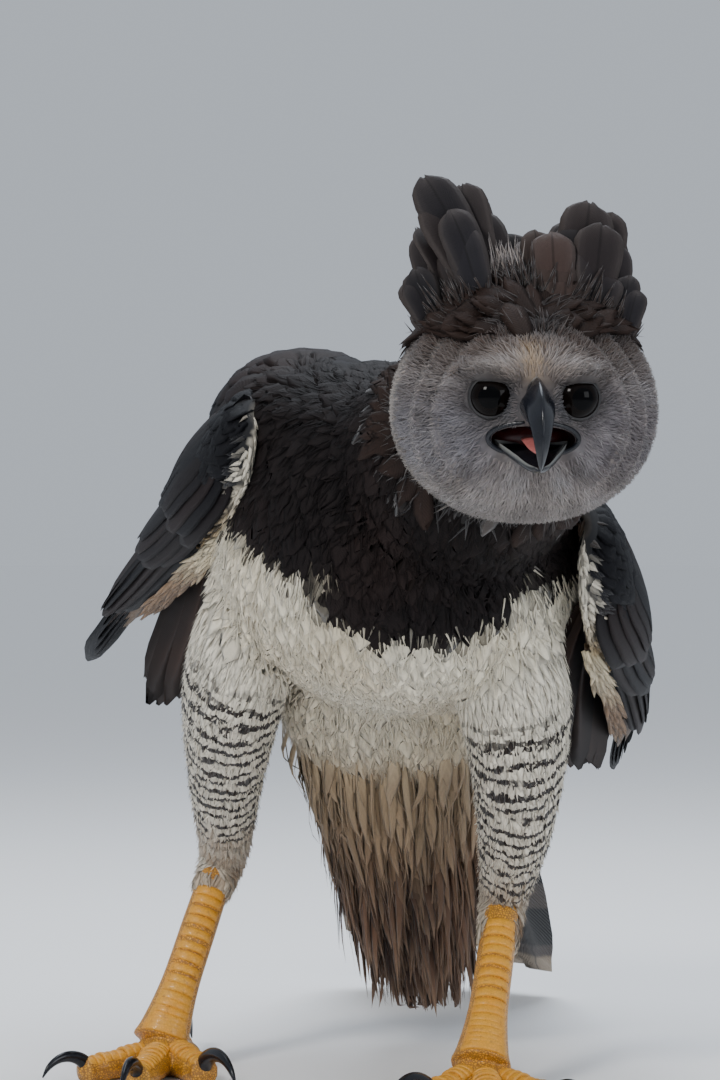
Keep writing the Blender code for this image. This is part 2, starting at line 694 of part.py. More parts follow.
def scute(name, middle, along, out, radius, half_length, turns=SCUTE_TURNS):
    """A curved plate that wraps the front of a leg or toe, its far edge raised like a shingle."""
    sideways = unit(np.cross(along, out))
    points = []
    for step, lift in ((-1, SCUTE_LIFT * 0.4), (1, SCUTE_LIFT)):
        for reach in (radius + lift, radius - SCUTE_SINK):
            for turn in turns:
                angle = math.radians(turn)
                way = out * math.cos(angle) + sideways * math.sin(angle)
                points.append(middle + along * step * half_length + way * reach)
    wide = len(turns)
    faces = []
    for j in range(wide - 1):
        a, b = j, j + 1
        faces += [(a, b, 2 * wide + b, 2 * wide + a), (wide + a, wide + b, 3 * wide + b, 3 * wide + a)]
        faces += [(a, b, wide + b, wide + a), (2 * wide + a, 2 * wide + b, 3 * wide + b, 3 * wide + a)]
    for j in (0, wide - 1):
        faces.append((j, wide + j, 3 * wide + j, 2 * wide + j))
    return new_object(name, points, faces, "yellow")


def leg(side):
    """The feathered shin and shank, and the bare tarsus that spreads into the foot."""
    hip, knee, shin, ankle, shank_end, joint = (vec(p) for p in LEGS[side])
    rows = [(*point, wide, deep, deep) for point, (wide, deep) in zip((hip, knee, shin, ankle), SHIN_ROWS)]
    thigh = tube(f"thigh_{side}", rows, 8, 12, "barred")
    down = [ankle + (shank_end - ankle) * t for t in (-0.1, 0.35, 0.7, 1.0)]
    shank = tube("shank", [(*p, r, r * 1.06, r * 1.06) for p, r in zip(down, SHANK_RADII)], 4, 12, "barred")
    fuse(thigh, [shank])
    radius = TARSUS_RADIUS
    low = unit(joint - ankle)
    rows = [
        (*(ankle + (joint - ankle) * 0.08), radius * 0.85, radius * 0.95, radius * 0.95),
        (*(ankle + (joint - ankle) * 0.4), radius * 0.92, radius * 1.05, radius * 1.05),
        (*(ankle + (joint - ankle) * 0.75), radius * 0.98, radius * 1.05, radius * 1.05),
        (*(joint - low * 0.2), radius * 1.25, radius * 1.2, radius * 1.2),
        (*(joint + low * 1.0), radius * 1.5, radius * 1.3, radius * 1.3),
    ]
    tarsus = tube(f"tarsus_{side}", rows, 9, 12, "yellow")
    rows = [(joint[0], joint[1] + y, PAD_HEIGHT, wide, PAD_HEIGHT, PAD_HEIGHT + 0.2) for y, wide in PAD_ROWS]
    pad = tube("pad", rows, 7, 12, "yellow", side=(-1, 0, 0), floor=True)
    front = unit(vec((0, -1, 0)) - low * -low[1])
    plates = []
    for k in range(TARSUS_SCUTES):
        t = 0.34 + 0.5 * k / (TARSUS_SCUTES - 1)
        middle = ankle + (joint - ankle) * t
        plates.append(scute(f"scute_{k}", middle, low, front, radius * 1.03, 0.46))
    fuse(tarsus, [pad] + plates)
    carve(tarsus, [thigh])
    return thigh, tarsus


def toe(side, name):
    """One toe with its joint pads, resting on small flats, and its claw."""
    turn, long, radius, claw_long, claw_radius = TOES[name]
    way = 1 if side == "right" else -1
    angle = math.radians((FOOT_TURN[side] - turn) * way)
    ahead = vec((math.sin(angle), -math.cos(angle), 0))
    right = np.cross(vec((0, 0, 1)), ahead)
    joint = vec(LEGS[side][-1]) * vec((1, 1, 0))
    rows = []
    for k in range(TOE_STATIONS):
        t = k / (TOE_STATIONS - 1)
        slim = radius * (1.0 - 0.2 * t)
        place = joint + ahead * (TOE_START + (long - TOE_START) * t)
        place[2] = slim * TOE_HEIGHT * (1.35 - 0.35 * min(1.0, t * 2.2))
        r = slim * (1 + 0.08 * math.cos(t * 6 * math.pi))
        rows.append((*place, r, r * 0.98, r * 1.08))
    flesh = tube(f"{name}_{side}", rows, TOE_STATIONS, 8, "yellow", side=right, floor=True)
    plates = []
    for k in range(TOE_SCUTES):
        t = 0.60 + 0.30 * k / (TOE_SCUTES - 1)
        x, y, z, wide, *heights = smooth_rows(rows, 101)[int(t * 100)]
        top = vec((0, 0, 1))
        plates.append(scute(f"scute_{k}", vec((x, y, z)), ahead, top, wide * 1.04, 0.44, TOE_SCUTE_TURNS))
    fuse(flesh, plates)
    arc = math.radians(CLAW_RISE - CLAW_DROP)
    stride = claw_long / (CLAW_STATIONS - 1)
    place = vec(rows[-1][:3]) - ahead * 0.35 + vec((0, 0, 0.25))
    rows = []
    for k in range(CLAW_STATIONS):
        t = k / (CLAW_STATIONS - 1)
        lift = math.radians(CLAW_RISE) - arc * t
        r = claw_radius * (1 - t) ** 0.72 + 0.05
        rows.append((*place, r * 0.82, r, r))
        place = place + (ahead * math.cos(lift) + vec((0, 0, math.sin(lift)))) * stride
    shift = max(0.0, CLAW_CLEAR - min(row[2] - row[5] for row in rows))
    rows = [(x, y, z + shift, *sizes) for x, y, z, *sizes in rows]
    return flesh, tube(f"{name}_claw_{side}", rows, CLAW_STATIONS, 6, "horn", side=right)


def toes(side, tarsus):
    placed = []
    for name in TOES:
        flesh, claw = toe(side, name)
        carve(flesh, [tarsus] + placed)
        carve(claw, [flesh])
        placed.append(flesh)


def tail(torso, vent):
    """Twelve tail feathers in a shallow fan, under a base of upper tail coverts."""
    root, tip = vec(TAIL_ROOT), vec(TAIL_TIP)
    ahead = unit(tip - root)
    roll = math.radians(TAIL_ROLL)
    across = vec((math.cos(roll), 0, -math.sin(roll)))
    across = unit(across - ahead * (across @ ahead))
    up = unit(np.cross(across, ahead))
    if up[2] < 0:
        up = -up
    long = float(np.linalg.norm(tip - root))
    base = tube(
        "tail",
        [
            (*(root - ahead * 1.5), 3.6, 2.4, 1.9),
            (*(root + ahead * 2.0), 4.6, 2.2, 1.7),
            (*(root + ahead * 6.0), 4.7, 1.5, 1.2),
            (*(root + ahead * 9.5), 3.6, 0.8, 0.7),
        ],
        7,
        12,
        "slate",
        side=-across,
    )
    feathers = []
    half = (TAIL_COUNT - 1) / 2
    for k, level in enumerate(TAIL_LEVELS):
        share = (k - half) / half
        spine = []
        for step in FEATHER_STEPS:
            spread = TAIL_ROOT_SPREAD + (TAIL_TIP_SPREAD - TAIL_ROOT_SPREAD) * step
            reach = long * (0.02 + 0.98 * step) * (1 - 0.035 * share**2)
            rise = level * TAIL_LAYER - 1.1 - 0.8 * share**2 * step
            spine.append(root + ahead * reach + across * spread * share + up * rise)
        widths = [TAIL_HALF_WIDTH * max(wide, 0.6) for wide in FEATHER_WIDTHS]
        count = len(spine)
        feathers.append(vane(f"rectrix_{k}", spine, [across] * count, [up] * count, widths, "slate", thick=0.08))
    half = (UPPER_TAIL_COVERTS - 1) / 2
    for k in range(UPPER_TAIL_COVERTS):
        share = (k - half) / half
        rise = 1.0 + (half - abs(k - half) + 0.5 * (k > half)) * 0.3
        spine = [root + ahead * (1.0 + 12 * t) + across * 3.8 * share + up * (rise - 0.25 * t) for t in FEATHER_STEPS]
        widths = [1.9 * wide for wide in FEATHER_WIDTHS]
        count = len(spine)
        feathers.append(vane(f"upper_covert_{k}", spine, [across] * count, [up] * count, widths, "slate"))
    fuse(base, feathers)
    return carve(base, [torso, vent])


def undertail(torso):
    """The fluffed belly behind the legs, with long soft feathers that hang from the vent in two rows."""
    made = tube("undertail", BELLY, 8, 14, "cream", roll=4.0)
    feathers = []
    for row, (count, y, z, wide, drop, reach) in enumerate(UNDERTAIL_ROWS):
        for k in range(count):
            share = 2 * k / (count - 1) - 1
            root = vec((3.5 + wide * 0.62 * share, y + 0.35 * (k % 2), z - 0.6 * abs(share)))
            fall = drop * (1 - 0.22 * abs(share))
            ahead = unit(vec((1.4, reach, -fall)))
            side = unit(vec((1, 0.15 * share, 0)) - ahead * ahead[0])
            spine = []
            for t in LOCK_STEPS:
                spine.append(root + vec((1.4 * t - 0.4 * share * t, reach * t * (1.15 - 0.15 * t), -fall * t)))
            normals = [unit(np.cross(side, ahead))] * len(spine)
            widths = [0.82 * shape for shape in LOCK_WIDTHS]
            name = f"undertail_{row}_{k}"
            feathers.append(vane(name, spine, [side] * len(spine), normals, widths, "cream", thick=0.11))
    fuse(made, feathers)
    return carve(made, [torso])


def mouth(head_solid, upper, lower):
    """The mouth's opening in the face, its lining behind and the tongue between the two halves of the bill."""
    forward, raised, wide, high, deep = MOUTH
    axes = (HEAD_SIDE, HEAD_LOOK, HEAD_UP)
    opening = ball("opening", on_head(0, forward, raised), axes, (wide, deep, high), 12, 6, "mouth")
    combine(head_solid, [opening], "DIFFERENCE")
    lining = ball("mouth", on_head(0, forward, raised), axes, (wide - 0.05, deep - 0.05, high - 0.05), 12, 6, "mouth")
    front = ball("front", on_head(0, forward + 2.4, raised), axes, (4.0, 2.6, 3.0), 10, 6, "mouth")
    combine(lining, [front], "DIFFERENCE")
    tongue = head_loft(
        "tongue",
        [
            (3.9, -1.38, 0.62, 0.12, 0.14),
            (5.0, -1.5, 0.60, 0.12, 0.14),
            (6.0, -1.75, 0.45, 0.10, 0.12),
            (6.6, -1.95, 0.18, 0.07, 0.08),
        ],
        6,
        8,
        "mouth",
    )
    carve(tongue, [lining, lower, upper])
    return lining, tongue


def main():
    clear_scene()
    torso = tube("torso", TORSO, 13, 20, "cream", roll=BODY_ROLL, power=2.15)
    mantle = tube("mantle", MANTLE, 7, 12, "cream", roll=BODY_ROLL)
    fuse(torso, [mantle])
    vent = undertail(torso)

    head_solid = head()
    eye_solids = eyes()
    upper, lower = bill()
    lining, tongue = mouth(head_solid, upper, lower)
    carve(head_solid, [*eye_solids, upper, lower, lining, tongue])
    carve(upper, [lining])
    carve(lower, [lining])

    neck = tube("neck", NECK, 6, 16, "slate", roll=6.0)
    carve(neck, [torso, head_solid])

    wings = [wing("right", WING_RIGHT, -1), wing("left", WING_LEFT, 1)]
    for made in wings:
        carve(made, [torso, neck])
    tail(torso, vent)
    for side in LEGS:
        thigh, tarsus = leg(side)
        carve(thigh, [torso, vent])
        toes(side, tarsus)

    shift = Matrix.Translation(Vector((-BOX_MIDDLE[0] * CM, -BOX_MIDDLE[1] * CM, 0)))
    for made in bpy.data.objects:
        made.data.transform(shift)
        made.data.shade_smooth()
        made.data.set_sharp_from_angle(angle=math.radians(40))


main()
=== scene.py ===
"""The looks of a life-size harpy eagle: one skin, its plumage in tufts and vanes, bill, eyes and feet.

Places and sizes are written in centimetres in the layout of the solids. The bird faces -Y, its left side is +X,
+Z is up and the floor is z = 0. MIDDLE and CM turn them into the frame's metres.
"""

import math

import bmesh
import bpy
import numpy as np
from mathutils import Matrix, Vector
from mathutils.bvhtree import BVHTree


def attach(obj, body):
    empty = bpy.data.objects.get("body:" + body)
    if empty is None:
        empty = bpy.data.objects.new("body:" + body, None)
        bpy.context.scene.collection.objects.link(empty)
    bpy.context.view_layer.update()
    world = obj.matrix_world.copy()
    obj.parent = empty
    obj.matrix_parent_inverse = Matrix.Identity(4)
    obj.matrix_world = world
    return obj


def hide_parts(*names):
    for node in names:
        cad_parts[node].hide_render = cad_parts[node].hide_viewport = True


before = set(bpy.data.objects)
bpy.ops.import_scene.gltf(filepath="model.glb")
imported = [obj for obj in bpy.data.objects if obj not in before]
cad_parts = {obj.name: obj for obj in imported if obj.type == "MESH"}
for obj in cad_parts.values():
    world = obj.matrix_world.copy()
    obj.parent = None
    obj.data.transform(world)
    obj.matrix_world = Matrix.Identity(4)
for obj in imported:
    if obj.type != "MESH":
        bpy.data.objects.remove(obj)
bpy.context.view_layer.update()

CM = 0.01
MIDDLE = np.array((-0.4, 11.1, 0.0))
SEED = 41
SKIN_GRAIN, FOOT_GRAIN = 0.26, 0.11
TUFT_PATCH = 0.003

# ---------------------------------------------------------------- body sizes

BODY_ROLL = 12.0
TORSO = (
    (4.3, 30.5, 24.6, 2.6, 2.0, 2.2),
    (4.1, 27.5, 25.6, 4.6, 3.6, 4.0),
    (3.5, 22.5, 28.0, 7.8, 6.4, 6.6),
    (2.9, 16.0, 31.0, 10.4, 8.6, 8.8),
    (2.5, 8.0, 33.8, 11.8, 10.0, 10.6),
    (2.6, 0.0, 36.0, 12.0, 10.2, 11.6),
    (3.3, -5.5, 37.4, 10.4, 8.6, 11.0),
    (4.2, -9.5, 38.2, 7.2, 6.0, 8.6),
    (4.8, -11.8, 38.4, 3.4, 3.0, 4.4),
)
BELLY = (
    (2.2, 5.0, 30.5, 8.6, 6.0, 6.0),
    (2.2, 9.5, 26.5, 8.8, 6.0, 5.6),
    (2.5, 13.0, 22.6, 7.4, 5.4, 4.9),
    (3.0, 16.4, 18.6, 5.9, 4.4, 4.0),
    (3.4, 19.4, 14.8, 4.5, 3.2, 3.0),
    (3.8, 21.6, 11.6, 2.8, 2.0, 2.0),
)
MANTLE = (
    (-3.4, 14.0, 39.4, 4.0, 3.0, 4.0),
    (-3.4, 9.0, 40.8, 6.0, 5.0, 5.0),
    (-3.1, 3.0, 41.5, 6.6, 5.6, 6.0),
    (-2.2, -3.0, 41.0, 6.2, 5.0, 6.0),
    (-0.6, -7.0, 40.0, 4.4, 3.4, 4.4),
)
NECK = (
    (4.4, -4.5, 38.8, 8.6, 6.0, 8.0),
    (6.0, -9.0, 39.8, 7.8, 5.6, 7.4),
    (7.8, -13.5, 41.2, 6.9, 5.6, 6.4),
    (8.8, -17.5, 42.0, 5.6, 5.0, 5.2),
)
# Side and height of the line between the dark breast and the pale belly, and of the pale tufts above it.
BREAST_EDGE = ((-9.0, 38.5), (-6.3, 36.6), (-3.2, 34.0), (-1.8, 32.0), (3.6, 30.1), (6.6, 31.0), (12.0, 33.8))
BREAST_TUFTS = ((-2.1, 34.4, 0.1, 0.45), (-4.3, 34.6, 0.3, 0.2))
HEAD_AT = (9.3, -20.0, 42.3)
HEAD_YAW, HEAD_PITCH, HEAD_ROLL = 3.5, -6.0, 1.0
HEAD = (
    (-8.2, 0.4, 3.2, 3.0, 3.0),
    (-6.6, 0.3, 5.4, 4.9, 4.8),
    (-4.0, 0.1, 7.0, 6.1, 5.9),
    (-1.6, 0.0, 7.7, 6.6, 6.5),
    (0.2, 0.0, 7.7, 6.6, 6.6),
    (1.7, 0.1, 6.9, 6.1, 6.0),
    (3.0, 0.3, 5.6, 5.1, 4.8),
    (4.0, 0.4, 4.1, 3.8, 3.5),
    (4.7, 0.4, 2.4, 2.2, 2.3),
)
CROWN = (-0.2, -2.9, 4.3)
CROWN_SIZES = (5.5, 3.7, 4.4)
EYE_RADIUS = 1.3
EYE_SIDE, EYE_FORWARD, EYE_RAISE = 2.32, 3.95, 0.98
EYE_TURN = 0.22
BROW = (2.45, 3.75, 2.3)
BROW_SIZES = (1.8, 0.95, 0.6)
UPPER_BILL = (
    (3.2, 0.50, 0.86, 1.40),
    (5.0, 0.80, 0.94, 1.38),
    (6.4, 0.72, 0.88, 1.18),
    (7.5, 0.20, 0.76, 0.98),
    (8.15, -0.60, 0.56, 0.72),
    (8.4, -1.50, 0.38, 0.48),
    (8.3, -2.30, 0.20, 0.26),
    (8.15, -2.75, 0.05, 0.07),
)
LOWER_BILL = (
    (3.2, -1.72, 2.05, 0.34),
    (4.6, -1.98, 1.66, 0.44),
    (5.9, -2.34, 1.12, 0.46),
    (6.9, -2.62, 0.62, 0.36),
    (7.5, -2.66, 0.22, 0.18),
)
GAPE = (4.0, -1.3, 2.3, 0.92, 2.4)
TONGUE = (
    (3.9, -1.36, 0.66, 0.16, 0.14),
    (5.0, -1.46, 0.62, 0.16, 0.14),
    (6.0, -1.70, 0.47, 0.12, 0.12),
    (6.6, -1.90, 0.18, 0.07, 0.08),
)
NOSTRIL = (5.35, 1.25)

CREST = (
    (-1.9, 5.6, -5.8, 12.9, 1.35, 1.45),
    (-1.5, 5.9, -3.5, 12.5, 1.30, 2.35),
    (-2.3, 5.5, -4.4, 11.0, 1.10, 0.60),
    (-4.2, 5.0, -6.1, 10.0, 0.90, 1.90),
    (-4.9, 4.2, -6.3, 7.7, 0.95, 0.95),
    (2.9, 5.4, 3.65, 11.7, 1.45, 1.85),
    (3.6, 5.2, 4.2, 10.5, 1.35, 0.95),
    (4.4, 5.0, 4.95, 11.1, 1.10, 2.75),
    (1.6, 5.6, 1.4, 9.9, 1.20, 0.45),
    (1.1, 5.8, 0.5, 10.0, 0.90, 1.40),
    (4.6, 4.8, 5.2, 9.5, 0.95, 1.40),
    (5.2, 4.2, 5.8, 7.6, 0.75, 0.50),
    (-2.6, 4.8, -3.9, 11.2, 1.30, 3.60),
    (-0.2, 5.4, -0.9, 9.8, 1.20, 3.10),
    (2.4, 4.9, 3.0, 10.6, 1.30, 3.60),
)
CREST_CURL = 1.1

WING_RIGHT = (
    ((-6.2, -7.6, 41.6), (-6.6, -6.6, 42.9), (-6.0, -5.0, 43.8)),
    ((-6.6, -7.4, 38.0), (-8.3, -4.2, 41.2), (-5.4, 0.0, 44.4)),
    ((-8.4, -3.0, 34.8), (-10.8, 2.5, 39.0), (-5.2, 8.0, 44.0)),
    ((-11.2, 6.0, 32.4), (-13.4, 11.5, 36.0), (-5.2, 16.5, 41.2)),
    ((-15.1, 20.0, 29.4), (-16.5, 22.5, 32.3), (-7.5, 26.0, 36.8)),
    ((-18.9, 31.0, 26.6), (-19.4, 32.5, 28.6), (-13.0, 34.5, 31.8)),
    ((-21.6, 41.5, 25.0), (-21.7, 42.0, 25.7), (-20.1, 42.5, 26.8)),
)
WING_LEFT = (
    ((13.2, -7.2, 34.6), (13.9, -6.2, 36.0), (13.2, -4.4, 37.6)),
    ((13.0, -7.0, 30.8), (15.6, -3.2, 33.8), (11.8, 0.5, 40.4)),
    ((14.2, -1.0, 27.6), (17.2, 4.0, 31.2), (10.6, 8.0, 40.6)),
    ((16.2, 10.0, 24.4), (18.6, 13.0, 28.2), (10.9, 17.0, 37.2)),
    ((17.9, 22.0, 21.0), (19.6, 23.5, 24.8), (12.9, 26.5, 32.4)),
    ((19.2, 33.0, 18.4), (20.0, 34.0, 21.0), (16.2, 35.5, 26.0)),
    ((20.4, 41.5, 17.0), (20.6, 42.0, 18.0), (19.8, 42.5, 19.6)),
)
ARM_END = 0.38
ARM_OUT = 0.95
ARM_IN = 1.3
DROOPS = {
    "right": ((-12.3, 22.0, 22.6), (-16.3, 25.5, 23.8)),
    "left": ((14.6, 22.5, 18.0), (18.2, 26.0, 18.6)),
}

BAR_SPACING = 1.02

TAIL_ROOT = (4.3, 26.5, 26.6)
TAIL_TIP = (7.5, 50.0, 3.6)
TAIL_ROLL = 24.0
TAIL_ROOT_SPREAD, TAIL_TIP_SPREAD = 3.4, 7.3
TAIL_HALF_WIDTH = 2.2
TAIL_LAYER = 0.125
TAIL_LEVELS = (0, 2, 4, 6, 8, 10, 11, 9, 7, 5, 3, 1)

LEGS = {
    "right": (
        (-5.6, 2.2, 31.5),
        (-7.9, 4.4, 26.0),
        (-8.8, 10.4, 19.8),
        (-9.2, 16.2, 13.9),
        (-10.1, 14.9, 11.2),
        (-12.8, 11.0, 2.9),
    ),
    "left": (
        (8.4, -2.0, 29.5),
        (9.7, -1.0, 24.0),
        (9.9, 3.4, 17.6),
        (9.4, 8.4, 12.0),
        (8.8, 6.0, 8.6),
        (7.7, 1.0, 2.9),
    ),
}
SHIN_ROWS = ((4.2, 4.6), (3.5, 4.4), (2.6, 3.2), (1.75, 2.1))
TARSUS_RADIUS = 1.3
PAD_HEIGHT = 1.1
PAD_ROWS = ((-2.2, 1.1), (-1.2, 2.0), (0.2, 2.3), (1.4, 1.9), (2.1, 1.0))
TOES = {
    "inner_toe": (-42.0, 6.0, 1.14, 5.9, 0.60),
    "middle_toe": (-4.0, 8.0, 1.12, 5.2, 0.55),
    "outer_toe": (36.0, 6.6, 1.02, 4.2, 0.46),
    "hind_toe": (172.0, 5.2, 1.22, 7.2, 0.68),
}
FOOT_TURN = {"right": -14.0, "left": -6.0}
TOE_HEIGHT = 0.86
TOE_START = 1.5
CLAW_RISE, CLAW_DROP = 42.0, -72.0
CLAW_CLEAR = 0.12

# ---------------------------------------------------------------- studio sizes, in metres but for the camera's place

FLOOR_REACH = 40.0
FLOOR_DROP = 0.0005
SKY_COLOUR = (0.83, 0.9, 1.0)
SKY_STRENGTH = 0.6
DAY_COLOUR = (0.86, 0.92, 1.0)
DAY_STRENGTH = 0.2
DAY_SOFTNESS = 1.2
DAY_TURN = (0.5, 0.25, 0.0)
# Each soft light's place, the place it looks at, its width, power and colour.
SOFT_LIGHTS = {
    "key": ((-1.3, -1.9, 1.9), (0.05, -0.1, 0.35), 0.55, 38.0, (1.0, 0.97, 0.93)),
    "fill": ((1.7, -1.6, 0.9), (0.0, -0.1, 0.3), 0.9, 13.0, (0.95, 0.97, 1.0)),
    "sky": ((0.1, 0.6, 2.0), (0.0, 0.0, 0.35), 1.6, 38.0, (0.86, 0.92, 1.0)),
}
CAMERA_AT = (0, -200, 35)
SENSOR_WIDTH = 36.0
PICTURE_PIXELS = 1080
FOCAL_PIXELS = 3200


# ---------------------------------------------------------------- small tools


def vec(point):
    return np.array(point, float)


def unit(vectors):
    vectors = np.asarray(vectors, float)
    return vectors / np.maximum(np.linalg.norm(vectors, axis=-1, keepdims=True), 1e-9)


def step_between(low, high, value):
    """0 under low, 1 over high and a smooth rise between."""
    t = np.clip((value - low) / (high - low), 0, 1)
    return t * t * (3 - 2 * t)


def rgb(red, green, blue):
    """A colour as screens name it, 0 to 255, turned into light."""
    c = np.array((red, green, blue), float) / 255
    return np.where(c <= 0.04045, c / 12.92, ((c + 0.055) / 1.055) ** 2.4)


def paint(base, colour, share):
    """Rows of colours, moved towards a colour by a share for each row."""
    return base + (colour - base) * np.asarray(share)[..., None]


def ripple(points, size, seed):
    """Smooth noise from -1 to 1 over points, whose features are about size across."""
    draw = np.random.default_rng(seed)
    waves = unit(draw.normal(size=(7, 3))) * draw.uniform(0.7, 1.5, (7, 1)) * 2 * math.pi / (size * 2.2)
    shifts = draw.uniform(0, 2 * math.pi, 7)
    return np.sin(points @ waves.T + shifts).sum(axis=-1) / 4.2


def smooth_rows(rows, count):
    """Rows of numbers read at count even steps of a curve through them."""
    rows = np.array(rows, float)
    padded = np.vstack([2 * rows[0] - rows[1], rows, 2 * rows[-1] - rows[-2]])
    at = np.linspace(0, len(rows) - 1, count)
    k = np.minimum(at.astype(int), len(rows) - 2)
    t = (at - k)[:, None]
    a, b, c, d = (padded[k + i] for i in range(4))
    return 0.5 * (2 * b + (c - a) * t + (2 * a - 5 * b + 4 * c - d) * t**2 + (3 * b - a - 3 * c + d) * t**3)


def head_frame():
    """The head's origin with its side, look and up directions."""
    yaw, pitch, roll = (math.radians(a) for a in (HEAD_YAW, HEAD_PITCH, HEAD_ROLL))
    look = vec((math.sin(yaw) * math.cos(pitch), -math.cos(yaw) * math.cos(pitch), math.sin(pitch)))
    level = vec((math.cos(yaw), math.sin(yaw), 0))
    rise = np.cross(level, -look)
    side = level * math.cos(roll) - rise * math.sin(roll)
    return vec(HEAD_AT), side, look, np.cross(side, -look)


HEAD_ORIGIN, HEAD_SIDE, HEAD_LOOK, HEAD_UP = head_frame()


def on_head(side, forward, raised):
    return HEAD_ORIGIN + HEAD_SIDE * side + HEAD_LOOK * forward + HEAD_UP * raised


def head_places(points):
    """Side, forward and raise of points in the head's frame."""
    away = points - HEAD_ORIGIN
    return away @ HEAD_SIDE, away @ HEAD_LOOK, away @ HEAD_UP


# ---------------------------------------------------------------- closed shapes


def loft(rings, first, last):
    """Points and faces of a closed tube over rings of equal count, ended by a pole at each end."""
    rings = np.array(rings)
    many, sides = rings.shape[:2]
    points = np.vstack([rings.reshape(-1, 3), [first, last]])
    faces = []
    for k in range(many - 1):
        for i in range(sides):
            j = (i + 1) % sides
            faces.append((k * sides + i, k * sides + j, (k + 1) * sides + j, (k + 1) * sides + i))
    start, end, low = many * sides, many * sides + 1, (many - 1) * sides
    for i in range(sides):
        j = (i + 1) % sides
        faces.append((start, j, i))
        faces.append((end, low + i, low + j))
    return points, faces


def tube(rows, samples, sides, roll=0.0, side=None, power=2.0, floor=False, grow=0.0, shape=None):
    """A loft over rows of x, y, z, half width, above, below, with rounded ends."""
    rows = smooth_rows(rows, samples)
    rows[:, 3:] = np.maximum(rows[:, 3:] + grow, 0.05)
    centres = rows[:, :3]
    turn = math.radians(roll)
    across = vec((math.cos(turn), 0, -math.sin(turn))) if side is None else unit(vec(side))
    angles = 2 * math.pi * (np.arange(sides) + 0.5) / sides
    wide, rise = np.cos(angles), np.sin(angles)
    swell = (abs(wide) ** power + abs(rise) ** power) ** (-1 / power)
    wide, rise = wide * swell, rise * swell
    rings = []
    for k, row in enumerate(rows):
        ahead = unit(centres[min(k + 1, samples - 1)] - centres[max(k - 1, 0)])
        right = unit(across - ahead * (across @ ahead))
        up = np.cross(ahead, right)
        w, r = (wide, rise) if shape is None else shape(wide, rise, k / (samples - 1))
        heights = np.where(r > 0, row[4], row[5])
        ring = row[:3] + right * (w * row[3])[:, None] + up * (r * heights)[:, None]
        if floor:
            ring[:, 2] = np.maximum(ring[:, 2], 0.0)
        rings.append(ring)
    first_step, last_step = unit(centres[0] - centres[1]), unit(centres[-1] - centres[-2])
    first = centres[0] + first_step * rows[0, 3:].min() * 0.5
    last = centres[-1] + last_step * rows[-1, 3:].min() * 0.5
    return loft(rings, first, last)


def head_tube(rows, samples, sides, **more):
    """A loft in the head's frame over rows of forward, raise, half width, above, below."""
    placed = [(*on_head(0, row[0], row[1]), *row[2:]) for row in rows]
    return tube(placed, samples, sides, side=HEAD_SIDE, **more)


def ball(centre, axes, sizes, around=40, up=24):
    """A closed ellipsoid with three given axes."""
    rings = []
    for k in range(1, up):
        tilt = math.pi * k / up
        ring = [
            (math.sin(tilt) * math.cos(a), math.sin(tilt) * math.sin(a), math.cos(tilt))
            for a in 2 * math.pi * np.arange(around) / around
        ]
        rings.append(ring)
    axes = np.array([axis * size for axis, size in zip(axes, sizes)])
    points, faces = loft(rings, (0, 0, 1), (0, 0, -1))
    return vec(centre) + points @ axes, faces


def placed(name, data):
    """A new object in the scene, at the origin."""
    made = bpy.data.objects.new(name, data)
    bpy.context.scene.collection.objects.link(made)
    return made


def face_outwards(mesh):
    """Turns the faces of closed shapes outwards."""
    work = bmesh.new()
    work.from_mesh(mesh)
    bmesh.ops.recalc_face_normals(work, faces=work.faces)
    work.to_mesh(mesh)
    work.free()
    mesh.shade_smooth()


def piece_from(name, shapes, finish=None):
    """One object from closed shapes, each a pair of points and faces, with its faces turned outwards."""
    points, faces = [], []
    for shape_points, shape_faces in shapes:
        start = sum(len(p) for p in points)
        points.append(shape_points)
        faces += [tuple(start + i for i in face) for face in shape_faces]
    mesh = bpy.data.meshes.new(name)
    mesh.from_pydata(((np.vstack(points) - MIDDLE) * CM).tolist(), [], faces)
    face_outwards(mesh)
    if finish is not None:
        mesh.materials.append(finish)
    return placed(name, mesh)


def settle(piece):
    """Puts the evaluated mesh in place of the piece's own and drops its modifiers."""
    graph = bpy.context.evaluated_depsgraph_get()
    graph.update()
    mesh = bpy.data.meshes.new_from_object(piece.evaluated_get(graph))
    piece.modifiers.clear()
    piece.data = mesh
    mesh.shade_smooth()


def melt(piece, grain, rounds):
    """Runs the closed shapes of a piece together into one surface, then eases it."""
    step = piece.modifiers.new("grain", "REMESH")
    step.mode = "VOXEL"
    step.voxel_size = grain * CM
    ease = piece.modifiers.new("ease", "SMOOTH")
    ease.factor = 0.5
    ease.iterations = rounds
    settle(piece)


def put_points(mesh, points):
    """Moves a mesh's points to places in the layout's centimetres."""
    mesh.vertices.foreach_set("co", ((points - MIDDLE) * CM).ravel())


def wear(piece, finish):
    """Gives a piece one finish in place of any other."""
    piece.data.materials.clear()
    piece.data.materials.append(finish)


def places_of(piece):
    """A piece's points in the layout's centimetres."""
    points = np.empty(len(piece.data.vertices) * 3)
    piece.data.vertices.foreach_get("co", points)
    return points.reshape(-1, 3) / CM + MIDDLE


def normals_of(piece):
    normals = np.empty(len(piece.data.vertices) * 3)
    piece.data.vertices.foreach_get("normal", normals)
    return normals.reshape(-1, 3)


def tell(mesh, name, values):
    """Stores one number or one colour for each point of a mesh."""
    values = np.asarray(values, float)
    if values.ndim == 1:
        mesh.attributes.new(name, "FLOAT", "POINT").data.foreach_set("value", values)
        return
    rows = np.ones((len(values), 4))
    rows[:, :3] = values
    mesh.attributes.new(name, "FLOAT_COLOR", "POINT").data.foreach_set("color", rows.ravel())


